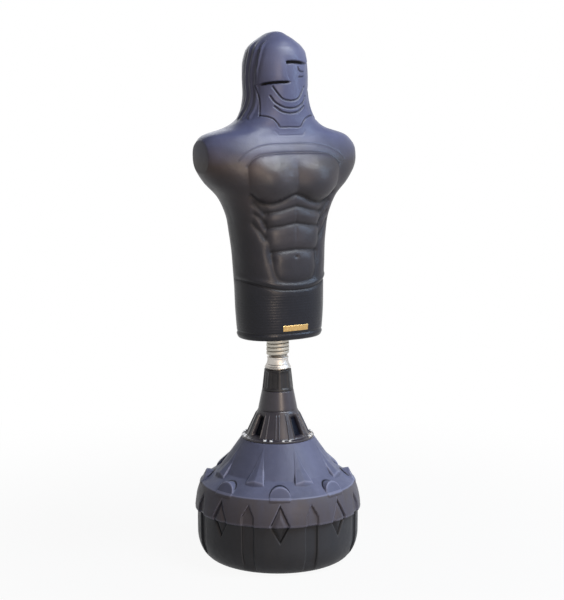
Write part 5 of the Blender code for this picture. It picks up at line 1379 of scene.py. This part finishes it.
def make_materials():
    """Every finish by its name: the record's material slots, and those of the new pieces."""
    return {
        "navy_skin": leather(),
        "upper_plastic": tank_plastic("blue_grey_tank_plastic", UPPER_TANK_TONES, 0.42, UPPER_TANK_SIDE_SHADE),
        "lower_plastic": tank_plastic("charcoal_tank_plastic", LOWER_TANK_TONES, 0.46, LOWER_TANK_SIDE),
        "slate_plastic": cover_plastic(),
        "black_plastic": black_plastic(),
        "satin_aluminium": metal("satin_aluminium", (0.66, 0.63, 0.59), 0.52, turned=True),
        "spring_steel": metal("silver_spring_steel", (0.57, 0.545, 0.485), 0.56),
        "zinc_steel": metal("bright_zinc", (0.86, 0.87, 0.89), 0.24),
        "bronze": metal("thrust_bronze", (0.60, 0.40, 0.18), 0.34, turned=True),
        "white_nylon": plain_grain("white_nylon", (0.80, 0.79, 0.75), (0.72, 0.71, 0.66), 0.45, 60, 0.0002),
        "rubber": plain_grain("seal_rubber", (0.025, 0.025, 0.025), (0.015, 0.015, 0.015), 0.78, 400, 0.0003),
        "foam": plain_grain("moulded_foam", (0.78, 0.70, 0.46), (0.66, 0.58, 0.36), 0.92, 520, 0.0012),
        "sand": plain_grain("dry_sand", (0.62, 0.50, 0.32), (0.44, 0.34, 0.20), 0.95, 900, 0.0014),
        "gold": foil(),
    }


def dress(obj, body, material, slot, *nodes):
    """Gives a piece its finish, the body it rides on and the CAD nodes that it stands for."""
    obj.data.materials.clear()
    obj.data.materials.append(material)
    if body is not None:
        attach(obj, body)
    if nodes:
        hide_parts(*nodes)


def dress_carried_nodes(materials, replaced):
    """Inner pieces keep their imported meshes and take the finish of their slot."""
    for part in frame["record"]["subparts"]:
        node, slot = part["node"], part["material_slot"]
        if node in replaced:
            continue
        obj = frame["nodes"][node]
        material = materials["lower_plastic" if slot == "tank_plastic" else slot]
        obj.data.materials.clear()
        obj.data.materials.append(material)


def make_pieces(materials):
    """Every new piece, on its body. Returns the names of the nodes that they stand for."""
    replaced = set()

    def add(obj, body, finish, slot, *nodes):
        """Dresses a piece and notes the nodes that it stands for."""
        dress(obj, body, materials[finish], slot, *nodes)
        replaced.update(nodes)
        return obj

    skin = add(make_figure_skin(), "figure", "navy_skin", "navy_skin", "figure_skin")
    foam = add(make_foam(), "figure", "foam", "foam", "figure_foam")
    add(make_foil_bar(), "figure", "gold", "bronze")
    add(make_neck_cup(), "figure", "black_plastic", "black_plastic", "neck_cup")
    add(make_base_upper(), "base", "upper_plastic", "tank_plastic", "base_tank")
    add(make_base_lower(), "base", "lower_plastic", "tank_plastic", "base_tank")
    add(make_filler_neck(), "base", "upper_plastic", "tank_plastic", "base_tank")
    add(make_cover(), "base", "slate_plastic", "slate_plastic", "cone_cover")
    add(make_collar(), "collar", "black_plastic", "black_plastic", "lock_collar")
    add(make_filler_cap(), "cap", "black_plastic", "black_plastic", "filler_cap")
    add(make_mast(), "mast", "satin_aluminium", "satin_aluminium", "mast")
    add(make_seat(), "seat", "satin_aluminium", "satin_aluminium", "spring_seat")
    middle = COIL_TURNS / 2
    lower = make_spring_half("neck_spring_lower", 0.0, middle)
    add(lower, None, "spring_steel", "spring_steel", "neck_spring")
    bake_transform(lower)
    upper = make_spring_half("neck_spring_upper", middle, COIL_TURNS)
    add(upper, None, "spring_steel", "spring_steel", "neck_spring")
    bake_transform(upper)
    index = 0
    for bay in range(POCKET_COUNT):
        for offset in BOLT_ANGLES:
            index += 1
            angle = PATTERN_TURN + POCKET_TURN + TURN * bay / POCKET_COUNT + math.radians(offset)
            bolt = make_flange_bolt(index, angle)
            add(bolt, "base", "zinc_steel", "zinc_steel", f"flange_bolt_{index:02d}")
    return replaced


def make_camera():
    """The photograph's camera: pitched down, without shift."""
    data = bpy.data.cameras.new("photo_camera")
    data.sensor_width = SENSOR_WIDTH
    data.lens = FOCAL_PIXELS * SENSOR_WIDTH / PHOTO_HEIGHT
    data.clip_end = 60
    camera = bpy.data.objects.new("photo_camera", data)
    x, y = VIEW_DISTANCE * math.sin(VIEW_AZIMUTH), -VIEW_DISTANCE * math.cos(VIEW_AZIMUTH)
    camera.location = (x, y, VIEW_HEIGHT)
    camera.rotation_euler = Euler((math.pi / 2 - VIEW_PITCH, 0, VIEW_AZIMUTH - VIEW_YAW))
    bpy.context.scene.collection.objects.link(camera)
    bpy.context.scene.camera = camera


def add_softbox(name, azimuth, elevation, distance, size, power, colour, aim_height):
    """An area lamp in a direction from the axis, turned to a height on it."""
    data = bpy.data.lights.new(name, "AREA")
    data.shape = "RECTANGLE"
    data.size, data.size_y = size
    data.energy = power
    data.color = colour
    light = bpy.data.objects.new(name, data)
    a, e = math.radians(azimuth), math.radians(elevation)
    aim = Vector((0, 0, aim_height))
    towards = Vector((math.sin(a) * math.cos(e), -math.cos(a) * math.cos(e), math.sin(e)))
    light.location = aim + distance * towards
    light.rotation_euler = (light.location - aim).to_track_quat("Z", "Y").to_euler()
    bpy.context.scene.collection.objects.link(light)


def make_lights():
    """A cool key from the upper right, a warm strip in front, a back fill and a blue strip on the right."""
    for name, lamp in LAMPS.items():
        add_softbox(name, *lamp)
    world = bpy.data.worlds.new("studio")
    world.use_nodes = True
    background = world.node_tree.nodes["Background"]
    background.inputs["Color"].default_value = (*WORLD_COLOUR, 1)
    background.inputs["Strength"].default_value = WORLD_STRENGTH
    bpy.context.scene.world = world


def stage_material(name):
    """A pale matt surface, white to the camera and in reflections from the outer radius of the fade on.

    Nearer in, part of the white gives way to the matt paint, which keeps the shadow.
    """
    f = Finish(name, STAGE_GREY, 0.9, Specular_IOR_Level=0.1)
    radius = f.nodes.new("ShaderNodeVectorMath")
    radius.operation = "LENGTH"
    f.link(f.stretched((1, 1, 0)), radius.inputs[0])
    share = f.remap(radius.outputs["Value"], *WHITE_FADE, NEAR_WHITE, 1.0)
    share.node.interpolation_type = "SMOOTHSTEP"
    path = f.nodes.new("ShaderNodeLightPath").outputs
    seen = f.computed("MAXIMUM", path["Is Camera Ray"], path["Is Glossy Ray"])
    seen = f.computed("MAXIMUM", seen, path["Is Transmission Ray"])
    white = f.nodes.new("ShaderNodeEmission")
    white.inputs["Color"].default_value = (1, 1, 1, 1)
    white.inputs["Strength"].default_value = 1.0
    mix = f.nodes.new("ShaderNodeMixShader")
    f.link(f.times(seen, share), mix.inputs["Fac"])
    f.link(f.shader.outputs["BSDF"], mix.inputs[1])
    f.link(white.outputs["Emission"], mix.inputs[2])
    f.link(mix.outputs["Shader"], f.nodes["Material Output"].inputs["Surface"])
    return f.material


def make_stage():
    """A pale round floor and a round backdrop far outside it, so that every view has the same surround."""
    floor_rings = np.array([(2.0, 0), (5.0, 0), (9.0, 0), (STAGE_RADIUS, 0)])
    floor = grid_object("studio_floor", turned_grid(floor_rings, STAGE_COLUMNS)[::-1], None, (0, 0, 0))
    floor.data.materials.append(stage_material("floor_paint"))
    wall_rings = np.array([(STAGE_RADIUS, 0), (STAGE_RADIUS, BACKDROP_HEIGHT)])
    wall = grid_object("studio_backdrop", turned_grid(wall_rings, STAGE_COLUMNS)[::-1])
    wall.data.materials.append(stage_material("backdrop_paper"))


make_camera()
finishes = make_materials()
stood_for = make_pieces(finishes)
dress_carried_nodes(finishes, stood_for)
make_lights()
make_stage()
bpy.context.scene.view_settings.view_transform = "Standard"
